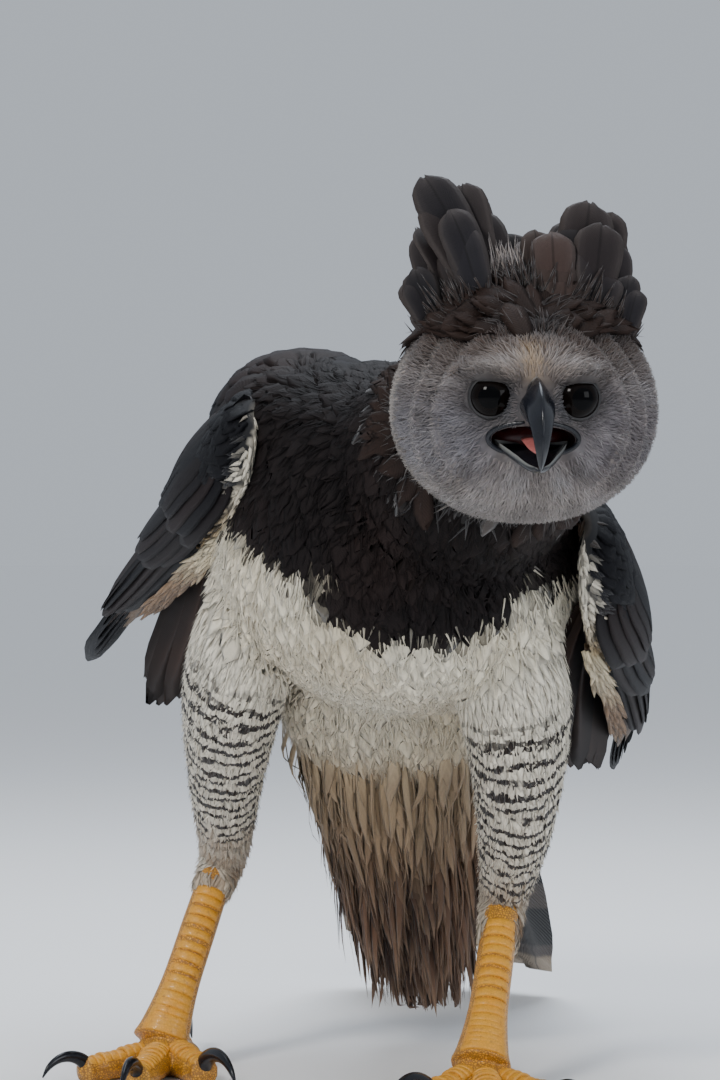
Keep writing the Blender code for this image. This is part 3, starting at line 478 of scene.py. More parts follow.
def tell_horn(piece, base=0.0, pale=0.0, pit=0.0):
    """Stores where horn is dull at its base, where it is pale (a painted highlight on the top of the upper bill, and
    the rims of the lower bill) and where it is hollow.
    """
    for name, values in (("base", base), ("pale", pale), ("pit", pit)):
        tell(piece.data, name, np.full(len(piece.data.vertices), values, float))


# ---------------------------------------------------------------- finishes


class Value:
    """A socket of a finish, with arithmetic that adds the nodes it needs."""

    def __init__(self, finish, socket):
        self.finish = finish
        self.socket = socket

    def worked(self, operation, *others):
        sockets = dict(enumerate((self, *others)))
        return self.finish.node("ShaderNodeMath", {"operation": operation}, sockets)

    def __add__(self, other):
        return self.worked("ADD", other)

    def __mul__(self, other):
        return self.worked("MULTIPLY", other)

    def __sub__(self, other):
        return self.worked("SUBTRACT", other)

    def __rsub__(self, other):
        return self.finish.node("ShaderNodeMath", {"operation": "SUBTRACT"}, {0: other, 1: self})

    __radd__ = __add__
    __rmul__ = __mul__

    def between(self, low, high):
        """0 under low, 1 over high."""
        sockets = {0: self, 1: low, 2: high, 3: 0.0, 4: 1.0}
        return self.finish.node("ShaderNodeMapRange", {"interpolation_type": "SMOOTHSTEP"}, sockets)


SURFACE = {
    "specular": "Specular IOR Level",
    "sheen": "Sheen Weight",
    "sheen_width": "Sheen Roughness",
    "wet": "Coat Weight",
    "wet_roughness": "Coat Roughness",
}


class Finish:
    """One material: its Principled surface, and a method that adds any other node."""

    def __init__(self, name, roughness, **constants):
        self.material = bpy.data.materials.new(name)
        self.material.use_nodes = True
        self.tree = self.material.node_tree
        self.surface = self.tree.nodes["Principled BSDF"]
        self.surface.inputs["Roughness"].default_value = roughness
        for socket, value in constants.items():
            self.surface.inputs[SURFACE[socket]].default_value = value

    def fill(self, socket, value):
        if isinstance(value, Value):
            self.tree.links.new(value.socket, socket)
        elif np.ndim(value) and socket.type == "RGBA":
            socket.default_value = (*value, 1.0)
        else:
            socket.default_value = value

    def node(self, kind, settings=None, sockets=None, out=0):
        made = self.tree.nodes.new(kind)
        for name, value in (settings or {}).items():
            setattr(made, name, value)
        for key, value in (sockets or {}).items():
            self.fill(made.inputs[key], value)
        return Value(self, made.outputs[out])

    def blend(self, share, first, second, kind="MIX"):
        settings = {"data_type": "RGBA", "blend_type": kind}
        return self.node("ShaderNodeMix", settings, {0: share, 6: first, 7: second}, out=2)

    def scaled(self, colour, amount):
        """A colour made brighter or darker by a number that varies."""
        grey = self.node("ShaderNodeCombineColor", {}, {0: amount, 1: amount, 2: amount})
        return self.blend(1.0, colour, grey, "MULTIPLY")

    def place(self):
        return self.node("ShaderNodeTexCoord", out=3)

    def noise(self, where, size, detail=3.0, roughness=0.55):
        sockets = {"Vector": where, "Scale": 1 / (size * CM), "Detail": detail, "Roughness": roughness}
        return self.node("ShaderNodeTexNoise", {}, sockets)

    def told(self, name, colour=False):
        return self.node("ShaderNodeAttribute", {"attribute_name": name}, out=0 if colour else 2)

    def vane(self):
        """How far off the shaft and how far along a vane, from its root, both from 0 to 1."""
        uv = self.node("ShaderNodeUVMap", {"uv_map": "Vane"})
        across, along = (self.node("ShaderNodeSeparateXYZ", {}, {0: uv}, out=k) for k in (0, 1))
        return (across * 2.0 - 1.0).worked("ABSOLUTE"), along

    def set(self, socket, value):
        self.fill(self.surface.inputs[socket], value)

    def bump(self, height, strength, depth):
        """Small relief, its depth in centimetres."""
        sockets = {"Strength": strength, "Distance": depth * CM, "Height": height}
        self.set("Normal", self.node("ShaderNodeBump", {}, sockets))


def plumage_finish(name, barbs, slant, sheen, roughness=0.72, shaft=0.0, barred=False, specular=0.2):
    """Feathers whose colour each vane carries, with fine barbs, and the bars of the legs where told."""
    made = Finish(name, roughness, sheen=sheen, sheen_width=0.45, specular=specular)
    colour = made.told("tint", colour=True)
    off, along = made.vane()
    where = made.place()
    patch = made.noise(where, 0.9)
    if barred:
        down = made.told("down")
        wander = made.noise(where, 2.2, 2.0) * 1.7 + made.noise(where, 0.6, 1.0) * 0.5
        bars = ((down + wander) * (2 * math.pi / BAR_SPACING)).worked("SINE")
        broken = made.noise(where, 1.4, 2.0).between(0.33, 0.42)
        bars = bars.between(0.12, 0.5) * broken * made.told("barred")
        colour = made.blend(bars, colour, made.blend(patch, rgb(22, 18, 17), rgb(52, 42, 36)))
    streaks = (along * barbs - off * slant + patch * 3.0).worked("SINE")
    fray = made.noise(where, 0.12, 2.0)
    colour = made.scaled(colour, 0.78 + patch * 0.26 + fray * 0.22 + streaks * 0.05)
    if shaft:
        colour = made.blend((1.0 - off.between(0.02, 0.09)) * shaft, colour, rgb(10, 8, 8))
    made.set("Base Color", colour)
    made.bump(streaks * 0.4 + fray * 1.2, 0.4, 0.03)
    return made.material


def tail_finish():
    """Flight feathers of the tail: broad grey-brown bars on black and a pale tip."""
    made = Finish("tail vanes", 0.62, sheen=0.15, specular=0.4)
    off, along = made.vane()
    where = made.place()
    patch = made.noise(where, 0.7)
    level = along + patch * 0.02 + off * 0.015
    bars = (level * (2 * math.pi * 4.4)).worked("SINE").between(0.15, 0.55)
    tip = level.between(0.955, 0.975)
    grey = made.blend(patch, rgb(96, 84, 76), rgb(62, 56, 54))
    colour = made.blend(bars, rgb(20, 19, 21), grey)
    colour = made.blend(tip, colour, rgb(168, 150, 128))
    streaks = (along * 420.0 - off * 40.0).worked("SINE")
    colour = made.scaled(colour, 0.86 + patch * 0.25 + streaks * 0.06)
    colour = made.blend((1.0 - off.between(0.03, 0.08)) * 0.6, colour, rgb(30, 24, 20))
    made.set("Base Color", colour)
    made.bump(streaks, 0.4, 0.02)
    return made.material


def skin_finish():
    """The bare skin under the coat, which carries the coat's own markings."""
    made = Finish("skin under the coat", 0.85)
    patch = made.noise(made.place(), 0.5)
    made.set("Base Color", made.scaled(made.told("tint", colour=True), 0.45 + patch * 0.3))
    made.bump(patch, 0.4, 0.05)
    return made.material


def horn_finish(name, glossy):
    """Blue-black horn with fine growth lines, greyer and duller where it meets the skin."""
    made = Finish(name, 0.25, specular=0.32)
    where = made.place()
    cloud = made.noise(where, 0.9)
    lines = made.noise(where, 0.12, 4.0, 0.7)
    base = made.told("base")
    horn = made.blend(cloud, rgb(9, 10, 13), rgb(30, 32, 39))
    colour = made.blend(base, horn, made.blend(lines, rgb(26, 28, 33), rgb(72, 74, 78)))
    # Pale horn where told: a painted highlight on the top of the upper bill, and the rims of the lower bill.
    colour = made.blend(made.told("pale"), colour, made.blend(lines, rgb(150, 148, 140), rgb(116, 120, 124)))
    colour = made.blend(made.told("pit"), colour, rgb(4, 4, 5))
    made.set("Base Color", colour)
    made.set("Roughness", glossy + lines * 0.16 + base * 0.14)
    made.bump(lines, 0.22, 0.02)
    return made.material


def eye_finish():
    """A dark eye: black pupil in a brown iris, under a wet clear surface."""
    made = Finish("eye", 0.04, specular=0.07)
    gaze = made.told("gaze")
    grain = made.noise(made.place(), 0.08, 4.0)
    iris = made.blend(grain, rgb(6, 4, 4), rgb(16, 10, 7))
    colour = made.blend(gaze.between(0.86, 0.9), iris, rgb(2, 2, 3))
    colour = made.blend(1.0 - gaze.between(0.55, 0.62), colour, rgb(10, 8, 8))
    made.set("Base Color", colour)
    return made.material


def lid_finish():
    made = Finish("eye lids", 0.45, specular=0.5)
    folds = made.noise(made.place(), 0.09, 3.0)
    made.set("Base Color", made.blend(folds, rgb(9, 8, 9), rgb(34, 31, 31)))
    made.bump(folds, 0.6, 0.03)
    return made.material


def mouth_finish(name, first, second):
    made = Finish(name, 0.3, specular=0.5)
    flesh = made.noise(made.place(), 0.25, 3.0)
    made.set("Base Color", made.blend(flesh, first, second))
    made.bump(flesh, 0.4, 0.04)
    return made.material


def foot_finish(name, scaly):
    """Waxy yellow skin of the feet, with small many-sided scales, brown in the creases between them."""
    made = Finish(name, 0.42, specular=0.45, wet=0.12)
    where = made.place()
    cells = made.node(
        "ShaderNodeTexVoronoi", {"feature": "DISTANCE_TO_EDGE"}, {"Vector": where, "Scale": 1 / (0.17 * CM)}
    )
    raised = cells.between(0.03, 0.28)
    cloud = made.noise(where, 1.5)
    spots = made.noise(where, 0.35, 4.0, 0.65)
    colour = made.blend(cloud, rgb(228, 150, 26), rgb(214, 160, 52))
    colour = made.blend(spots.between(0.52, 0.75) * 0.6, colour, rgb(132, 82, 34))
    colour = made.blend((1.0 - raised) * (0.75 * scaly), colour, rgb(104, 66, 32))
    made.set("Base Color", colour)
    made.set("Roughness", 0.34 + spots * 0.2)
    made.bump(raised * scaly + spots * 0.3, 0.6, 0.05)
    return made.material


def floor_finish():
    made = Finish("studio floor", 0.8)
    made.set("Base Color", (0.9, 0.9, 0.9))
    return made.material


# ---------------------------------------------------------------- feathers as thin closed vanes


def vane_faces(rows, lanes):
    """Faces of one vane: the upper side in quads, one strip below and a cap at each end."""
    faces = []
    for r in range(rows - 1):
        low, high = r * lanes, (r + 1) * lanes
        for k in range(lanes - 1):
            faces.append((low + k, low + k + 1, high + k + 1, high + k))
        faces.append((low, high, high + lanes - 1, low + lanes - 1))
    faces.append(tuple(range(lanes - 1, -1, -1)))
    faces.append(tuple((rows - 1) * lanes + k for k in range(lanes)))
    return faces


def vanes(name, finish, spine, normals, halves, lanes, tint, camber=0.16, comb=None, bake=None, extra=None, along=None):
    """One piece of many like vanes.

    spine is feather by row by 3, and normals, halves (feather by row) and tint (feather by row by lane by 3) are
    spread to match it. bake is the place of each root on the map of the skin, or none for a sheet of the piece's
    own, and comb is how far each lane's tip stands out along the vane.
    """
    many, rows = spine.shape[:2]
    bake, sheet = tile_places(many) if bake is None else (bake, TUFT_PATCH)
    across_steps = np.linspace(-1, 1, lanes)
    ahead = unit(np.gradient(spine, axis=1))
    across = unit(np.cross(ahead, normals))
    rise = unit(np.cross(across, ahead))
    half = np.broadcast_to(halves, (many, rows))[:, :, None, None]
    lane = across_steps[None, None, :, None]
    arch = camber * (1 - lane**2) * half + 0.012
    points = spine[:, :, None, :] + across[:, :, None, :] * lane * half + rise[:, :, None, :] * arch
    along = np.linspace(0, 1, rows) if along is None else along
    if comb is not None:
        points = points + ahead[:, :, None, :] * (comb[:, None, :] * along[None, :, None] ** 4)[..., None]
    template = vane_faces(rows, lanes)
    flat = np.concatenate([np.array(face) for face in template])
    sizes = np.array([len(face) for face in template])
    size = rows * lanes
    corners = (flat[None, :] + size * np.arange(many)[:, None]).ravel()
    starts = np.concatenate([[0], np.cumsum(np.tile(sizes, many))[:-1]])
    mesh = bpy.data.meshes.new(name)
    mesh.vertices.add(many * size)
    put_points(mesh, points.reshape(-1, 3))
    mesh.loops.add(len(corners))
    mesh.loops.foreach_set("vertex_index", corners)
    mesh.polygons.add(len(starts))
    mesh.polygons.foreach_set("loop_start", starts)
    mesh.update(calc_edges=True)
    mesh.shade_smooth()
    tell(mesh, "tint", np.broadcast_to(tint, (many, rows, lanes, 3)).reshape(-1, 3))
    for key, values in (extra or {}).items():
        tell(mesh, key, np.broadcast_to(values, (many, rows, lanes)).reshape(-1))
    grid = np.stack(np.meshgrid(along, (across_steps + 1) / 2, indexing="ij")[::-1], axis=-1).reshape(-1, 2)
    on_vane = np.tile(grid[flat], (many, 1))
    mesh.uv_layers.new(name="Vane").data.foreach_set("uv", on_vane.ravel())
    spread = np.repeat(bake, len(flat), axis=0) + on_vane * sheet
    mesh.uv_layers.new(name="OFBake").data.foreach_set("uv", spread.ravel())
    mesh.uv_layers.active = mesh.uv_layers["Vane"]
    mesh.materials.append(finish)
    return placed(name, mesh)


def tile_places(many):
    """A place for each large vane on a square sheet of its own."""
    side = math.ceil(math.sqrt(many))
    k = np.arange(many)
    return np.stack([(k % side + 0.05) / side, (k // side + 0.05) / side], axis=1), 0.9 / side


def uneven(draw, low, high, many):
    """How bright each of many feathers is, ready to multiply its tint."""
    return draw.uniform(low, high, many)[:, None, None, None]


ROUNDED = ((0.0, 0.42), (0.15, 0.68), (0.35, 0.9), (0.6, 1.0), (0.8, 0.95), (0.92, 0.72), (1.0, 0.24))
BROAD = ((0.0, 0.35), (0.2, 0.62), (0.45, 0.88), (0.7, 1.0), (0.84, 0.98), (0.93, 0.8), (0.98, 0.5), (1.0, 0.2))
POINTED = ((0.0, 0.6), (0.3, 1.0), (0.6, 0.85), (0.85, 0.45), (1.0, 0.06))
BLADE = ((0.0, 0.35), (0.1, 0.7), (0.3, 0.96), (0.7, 1.0), (0.88, 0.84), (0.96, 0.56), (1.0, 0.16))


def widths_along(profile, rows):
    profile = np.array(profile)
    return np.interp(np.linspace(0, 1, rows), profile[:, 0], profile[:, 1])


# ---------------------------------------------------------------- the skin and what it knows


class Hide:
    """The skin's surface with what is known at each of its points, for rooting feathers."""

    def __init__(self, piece):
        mesh = piece.data
        self.points = places_of(piece)
        self.normals = normals_of(piece)
        mesh.calc_loop_triangles()
        count = len(mesh.loop_triangles)
        triangles, loops = np.empty(count * 3, int), np.empty(count * 3, int)
        mesh.loop_triangles.foreach_get("vertices", triangles)
        mesh.loop_triangles.foreach_get("loops", loops)
        self.triangles = triangles.reshape(-1, 3)
        places = np.empty(len(mesh.loops) * 2)
        mesh.uv_layers["OFBake"].data.foreach_get("uv", places)
        self.bake = places.reshape(-1, 2)[loops.reshape(-1, 3)]
        corners = self.points[self.triangles]
        self.areas = np.linalg.norm(np.cross(corners[:, 1] - corners[:, 0], corners[:, 2] - corners[:, 0]), axis=1) / 2
        self.tree = BVHTree.FromPolygons(self.points.tolist(), self.triangles.tolist())
        self.known = {}

    def nearest(self, places):
        """The nearest points of the skin, with its eased normals there."""
        found, faces = np.empty_like(places), np.empty(len(places), int)
        for k, place in enumerate(places.tolist()):
            spot, _, face, _ = self.tree.find_nearest(place)
            found[k] = spot
            faces[k] = face
        return found, unit(self.normals[self.triangles[faces]].mean(axis=1))

    def scatter(self, keep, spacing, seed):
        """Roots about spacing apart where keep, given at each point of the skin, is high."""
        draw = np.random.default_rng(seed)
        chance = keep[self.triangles].mean(axis=1)
        weight = self.areas * (chance > 0.02)
        total = int(weight.sum() / spacing**2 * 6) + 10
        pick = draw.choice(len(weight), total, p=weight / weight.sum())
        a, b = draw.random(total), draw.random(total)
        flip = a + b > 1
        a[flip], b[flip] = 1 - a[flip], 1 - b[flip]
        share = np.stack([1 - a - b, a, b], axis=1)[:, :, None]
        roots = (self.points[self.triangles[pick]] * share).sum(axis=1)
        cells = np.floor(roots / spacing + 0.5).astype(np.int64)
        keys = cells @ np.array([1, 20011, 40009 * 10007])
        _, first = np.unique(keys, return_index=True)
        first = first[draw.random(len(first)) < chance[pick[first]]]
        pick, share, roots = pick[first], share[first], roots[first]
        told = {"roots": roots, "normals": unit((self.normals[self.triangles[pick]] * share).sum(axis=1))}
        for key, values in self.known.items():
            three = values[self.triangles[pick]]
            told[key] = (three * (share if values.ndim > 1 else share[:, :, 0])).sum(axis=1)
        told["bake"] = (self.bake[pick] * share).sum(axis=1)
        return told


def closeness(points, rows):
    """How near points are to a limb, in its own radii, how far along it in centimetres, and its direction there."""
    rows = smooth_rows(rows, 36)
    reach = np.concatenate([[0], np.cumsum(np.linalg.norm(np.diff(rows[:, :3], axis=0), axis=1))])
    ways = unit(np.gradient(rows[:, :3], axis=0))
    away = np.linalg.norm(points[:, None, :] - rows[None, :, :3], axis=2)
    share = away / rows[None, :, 3:].mean(axis=2)
    best = share.argmin(axis=1)
    past = ((points - rows[best, :3]) * ways[best]).sum(axis=1)
    return share.min(axis=1), reach[best] + past, ways[best]


def leg_rows(side):
    points = LEGS[side]
    rows = [(*p, wide, deep, deep) for p, (wide, deep) in zip(points[:4], SHIN_ROWS)]
    return rows + [(*points[4], 1.5, 1.6, 1.6)]


def face_folds(side, raised):
    """The height of the ruff's folds around the face, and how far the raised forehead reaches."""
    ring = np.sqrt(side**2 + ((raised - 0.1) * 1.08) ** 2)
    turn = np.arctan2(raised, abs(side))
    strong = step_between(4.3, 5.2, ring) * step_between(-1.3, -0.5, turn) * step_between(7.4, 6.8, ring)
    ruff = np.cos((ring - 5.1 + 0.25 * np.sin(turn * 3)) * 2 * math.pi / 1.05) * strong
    brow_ring = np.sqrt((side / 3.7) ** 2 + ((raised - 1.2) / 3.0) ** 2)
    forehead = step_between(1.1, 0.9, brow_ring) * step_between(1.4, 2.2, raised)
    return ruff, forehead


def eye_nearness(points):
    """1 on the rims of the eyes, fading to 0 a little way out."""
    near = np.zeros(len(points))
    for way in (-1, 1):
        eye, gaze, _, _ = gaze_of(way)
        away = points - eye
        off = np.linalg.norm(away - (away @ gaze)[:, None] * gaze, axis=1)
        near = np.maximum(near, step_between(2.0, 1.2, off) * (away @ gaze > -0.5))
    return near


def face_colours(p, grain, fine):
    side, forward, raised = head_places(p)
    ring = np.sqrt(side**2 + (raised * 1.12) ** 2)
    ruff, forehead = face_folds(side, raised)
    turn = np.arctan2(raised - 0.2, side)
    streak = ripple(np.stack([np.cos(turn) * 7, np.sin(turn) * 7, ring * 0.45], axis=1), 0.8, 6)
    hairs = ripple(np.stack([np.cos(turn) * 24, np.sin(turn) * 24, ring * 0.8], axis=1), 0.8, 7)
    low_cheek = step_between(1.2, 3.4, abs(side)) * step_between(2.2, -0.4, raised)
    left_cheek = step_between(1.0, 4.0, side) * step_between(3.0, -1.0, raised)
    blaze = np.exp(-(((side + 0.15) / 0.42) ** 2) - ((raised - 3.0) / 0.85) ** 2)
    brows = np.exp(-((raised - 2.9 + abs(side) * 0.1) ** 2) / 0.12) * (abs(side) < 3.2)
    lores = np.exp(-((abs(side) - 1.25) ** 2) / 0.3 - (raised - 0.3) ** 2 / 1.4)
    outer = step_between(1.5, 4.0, ring)
    marks = (
        ((122, 120, 127), low_cheek * 0.85),
        ((158, 149, 143), step_between(-2.0, -4.6, raised) * 0.9),
        ((84, 71, 65), step_between(1.6, 3.6, raised) * (1 - forehead)),
        ((132, 118, 108), forehead * 0.75),
        ((96, 74, 66), left_cheek * (0.35 + 0.3 * streak)),
        ((182, 146, 92), blaze * 0.85),
        ((178, 174, 172), brows * 0.35),
        ((168, 165, 166), streak.clip(0, 1) * 0.55 * outer * step_between(3.4, 1.5, raised)),
        ((56, 48, 46), (-streak).clip(0, 1) * 0.65 * outer),
        ((50, 46, 47), eye_nearness(p) * 0.75),
        ((58, 62, 70), lores * 0.7),
        # Painted shade in the valleys of the ruff's folds and painted light on their crests, over folds that the skin
        # also has in its shape.
        ((48, 39, 36), (-ruff).clip(0, 1) * 0.65),
        ((164, 150, 138), ruff.clip(0, 1) * 0.35),
        ((172, 158, 140), step_between(6.6, 7.2, ring) * step_between(4.0, 1.0, raised) * 0.5),
        ((176, 168, 160), hairs.clip(0, 1) * 0.2),
        ((44, 38, 36), (-hairs).clip(0, 1) * 0.25),
        ((40, 36, 36), (-fine - grain * 0.5).clip(0, 1) * 0.2),
        ((62, 47, 40), step_between(2.6, 4.0, raised) * 0.75),
    )
    face = np.tile(rgb(112, 103, 100), (len(p), 1))
    for colour, share in marks:
        face = paint(face, rgb(*colour), share)
    crown = np.maximum(step_between(3.7, 4.7, raised), step_between(-1.3, -2.2, forward))
    return paint(face, rgb(30, 22, 19) * (1 + 0.5 * fine[:, None]), crown)


def learn(hide):
    """Works out which part of the body each point of the skin is on, and its lie and colour."""
    p, n = hide.points, hide.normals
    side, forward, raised = head_places(p)
    head_share = np.sqrt((side / 7.6) ** 2 + ((forward + 1.7) / 6.4) ** 2 + (raised / 6.8) ** 2)
    crown_share = np.sqrt((side / 5.5) ** 2 + ((forward + 2.9) / 3.9) ** 2 + ((raised - 4.3) / 4.4) ** 2)
    head_share = np.minimum(head_share, crown_share)
    torso, _, _ = closeness(p, TORSO)
    mantle, _, _ = closeness(p, MANTLE)
    neck, _, _ = closeness(p, NECK)
    belly, vent, belly_lie = closeness(p, BELLY)
    right, down_right, lie_right = closeness(p, leg_rows("right"))
    left, down_left, lie_left = closeness(p, leg_rows("left"))
    near = np.stack([head_share, neck, np.minimum(torso, mantle), belly, right, left], axis=1)
    weights = np.exp(-9.0 * (near - near.min(axis=1, keepdims=True)))
    weights /= weights.sum(axis=1, keepdims=True)
    on_head_, on_neck, on_torso, on_belly, on_right, on_left = weights.T

    radial = unit(p - on_head(0, 4.6, 0.4))
    sweep = unit(HEAD_SIDE * np.sign(side - 0.3)[:, None] - HEAD_LOOK * 0.7 + HEAD_UP * 0.25)
    on_top = step_between(3.6, 5.4, raised)[:, None]
    facing = np.maximum(-n[:, 1], 0)[:, None]
    back = unit(vec((0.02, 1.0, -0.38)) + facing * vec((0, -0.2, -1.3)))
    nape = unit(vec((-0.35, 0.9, -0.3)) + facing * vec((0, 0, -0.9)))
    flow = (
        unit(radial * (1 - on_top * 0.8) + sweep * on_top) * on_head_[:, None]
        + nape * on_neck[:, None]
        + back * on_torso[:, None]
        + unit(belly_lie + vec((0, 0, -0.25))) * on_belly[:, None]
        + lie_right * on_right[:, None]
        + lie_left * on_left[:, None]
    )
    flow = unit(flow - n * (flow * n).sum(axis=1, keepdims=True))

    cloud, grain = ripple(p, 5.0, 1), ripple(p, 1.2, 2)
    fine = ripple(p, 0.55, 3)
    face = face_colours(p, grain, fine)
    dark = np.tile(rgb(21, 17, 17), (len(p), 1))
    # Bluish where the back faces up: partly the back's own slate colour, partly a painted bluish sky sheen.
    dark = paint(dark, rgb(16, 19, 27), step_between(-4.0, 4.0, p[:, 1]) * step_between(-0.2, 0.5, n[:, 2]))
    dark = paint(dark, rgb(44, 31, 27), cloud.clip(0, 1) * 0.5)
    cream = np.tile(rgb(226, 217, 194), (len(p), 1))
    cream = paint(cream, rgb(196, 176, 140), (cloud * 0.8 + 0.3).clip(0, 1) * 0.5)
    cream = paint(cream, rgb(176, 148, 112), step_between(3.0, 11.0, vent) * on_belly * 0.85)
    cream = paint(cream, rgb(116, 88, 68), step_between(11.0, 19.0, vent) * on_belly * 0.8)

    front_edge = np.interp(p[:, 0], *zip(*BREAST_EDGE))
    axis_height = np.interp(p[:, 1], [row[1] for row in TORSO[::-1]], [row[2] for row in TORSO[::-1]])
    edge = front_edge + (axis_height + 1.0 - front_edge) * step_between(-2.0, 6.0, p[:, 1])
    above = step_between(-0.4, 0.4, p[:, 2] - edge + cloud * 0.5 + grain * 0.55 + fine * 0.4)
    trunk = cream + (dark - cream) * above[:, None]
    tufts = sum(
        np.exp(-((p[:, 0] - x) ** 2) / wide - (p[:, 2] - z) ** 2 / high) for x, z, wide, high in BREAST_TUFTS
    )
    trunk = paint(trunk, rgb(188, 176, 156), tufts * (p[:, 1] < 0) * 0.8)
    collar = step_between(0.45, 0.9, on_neck + on_torso * above)

    thigh = np.tile(rgb(220, 212, 194), (len(p), 1))
    down = down_right * (on_right > on_left) + down_left * (on_left >= on_right)
    thigh = paint(thigh, rgb(146, 120, 94), step_between(15.5, 19.5, down) * (0.5 + 0.4 * grain).clip(0, 1))
    tint = (
        face * on_head_[:, None]
        + dark * on_neck[:, None]
        + trunk * on_torso[:, None]
        + cream * on_belly[:, None]
        + thigh * (on_right + on_left)[:, None]
    )
    gape = np.sqrt((side / 2.55) ** 2 + ((raised + 1.3) / 1.05) ** 2 + ((forward - 3.2) / 2.4) ** 2)
    inside = step_between(1.05, 0.95, gape) * (n @ HEAD_LOOK < 0.75)
    tint = paint(tint, rgb(58, 16, 16), inside)
    hide.known = {
        "flow": flow,
        "tint": tint,
        "on_head": on_head_,
        "on_neck": on_neck,
        "on_torso": on_torso,
        "on_belly": on_belly,
        "on_leg": on_right + on_left,
        "dark": np.clip(collar, 0, 1),
        "down": down,
        "vent": vent,
        "barred": step_between(0.5, 0.85, on_right + on_left)
        * step_between(3.0, 5.0, down)
        * step_between(20.5, 17.5, down),
        "side": side,
        "forward": forward,
        "raised": raised,
    }


def gaze_of(way):
    """The eye's centre and its outward, level and upward directions."""
    gaze = unit(HEAD_LOOK + HEAD_SIDE * way * EYE_TURN)
    level = unit(np.cross(HEAD_UP, gaze))
    return on_head(way * EYE_SIDE, EYE_FORWARD, EYE_RAISE), gaze, level, np.cross(gaze, level)


def unwrap(piece):
    bpy.context.view_layer.objects.active = piece
    piece.select_set(True)
    bpy.ops.object.mode_set(mode="EDIT")
    bpy.ops.mesh.select_all(action="SELECT")
    bpy.ops.uv.smart_project(angle_limit=math.radians(70), island_margin=0.002)
    bpy.ops.object.mode_set(mode="OBJECT")
    piece.select_set(False)
    piece.data.uv_layers[0].name = "OFBake"


def make_skin():
    """One closed skin for the head, neck, body, belly and feathered legs, under the depth of the coat."""
    axes = (HEAD_SIDE, HEAD_LOOK, HEAD_UP)
    shapes = [
        head_tube(HEAD, 40, 56, power=2.1, grow=-0.4),
        ball(on_head(*CROWN), axes, [s - 0.5 for s in CROWN_SIZES]),
        tube(TORSO, 48, 56, roll=BODY_ROLL, power=2.15, grow=-0.45),
        tube(MANTLE, 24, 32, roll=BODY_ROLL, grow=-0.45),
        tube(NECK, 24, 40, roll=6.0, grow=-0.3),
        tube(BELLY, 32, 40, roll=4.0, grow=-0.5),
    ]
    for way in (-1, 1):
        slant = unit(HEAD_SIDE * way + HEAD_UP * 0.1 - HEAD_LOOK * 0.4)
        over = unit(HEAD_UP - slant * (HEAD_UP @ slant))
        brow_axes = (slant, np.cross(slant, over), over)
        shapes.append(ball(on_head(way * BROW[0], BROW[1] + 0.3, BROW[2] + 0.12), brow_axes, BROW_SIZES))
        shapes.append(ball(on_head(way * 1.45, 3.7, -0.1), axes, (0.95, 1.1, 1.2)))
    for side in LEGS:
        shapes.append(tube(leg_rows(side), 40, 32, grow=-0.28))
    made = piece_from("skin", shapes)
    melt(made, SKIN_GRAIN, 4)
    points, normals = places_of(made), normals_of(made)
    side, forward, raised = head_places(points)
    ruff, forehead = face_folds(side, raised)
    front = step_between(-3.0, -1.5, forward) * step_between(0.0, 0.4, normals @ HEAD_LOOK)
    points = points + normals * ((ruff * 0.22 + forehead * 0.24) * front)[:, None]
    put_points(made.data, points)
    forward, raised, wide, high, deep = GAPE
    opening = ball(on_head(0, forward - 0.4, raised), axes, (wide + 0.12, deep + 0.2, high), 48, 24)
    cutter = piece_from("gape", [opening])
    cut = made.modifiers.new("gape", "BOOLEAN")
    cut.operation = "DIFFERENCE"
    cut.object = cutter
    cut.solver = "EXACT"
    settle(made)
    bpy.data.objects.remove(cutter, do_unlink=True)
    unwrap(made)
    wear(made, skin_finish())
    return made


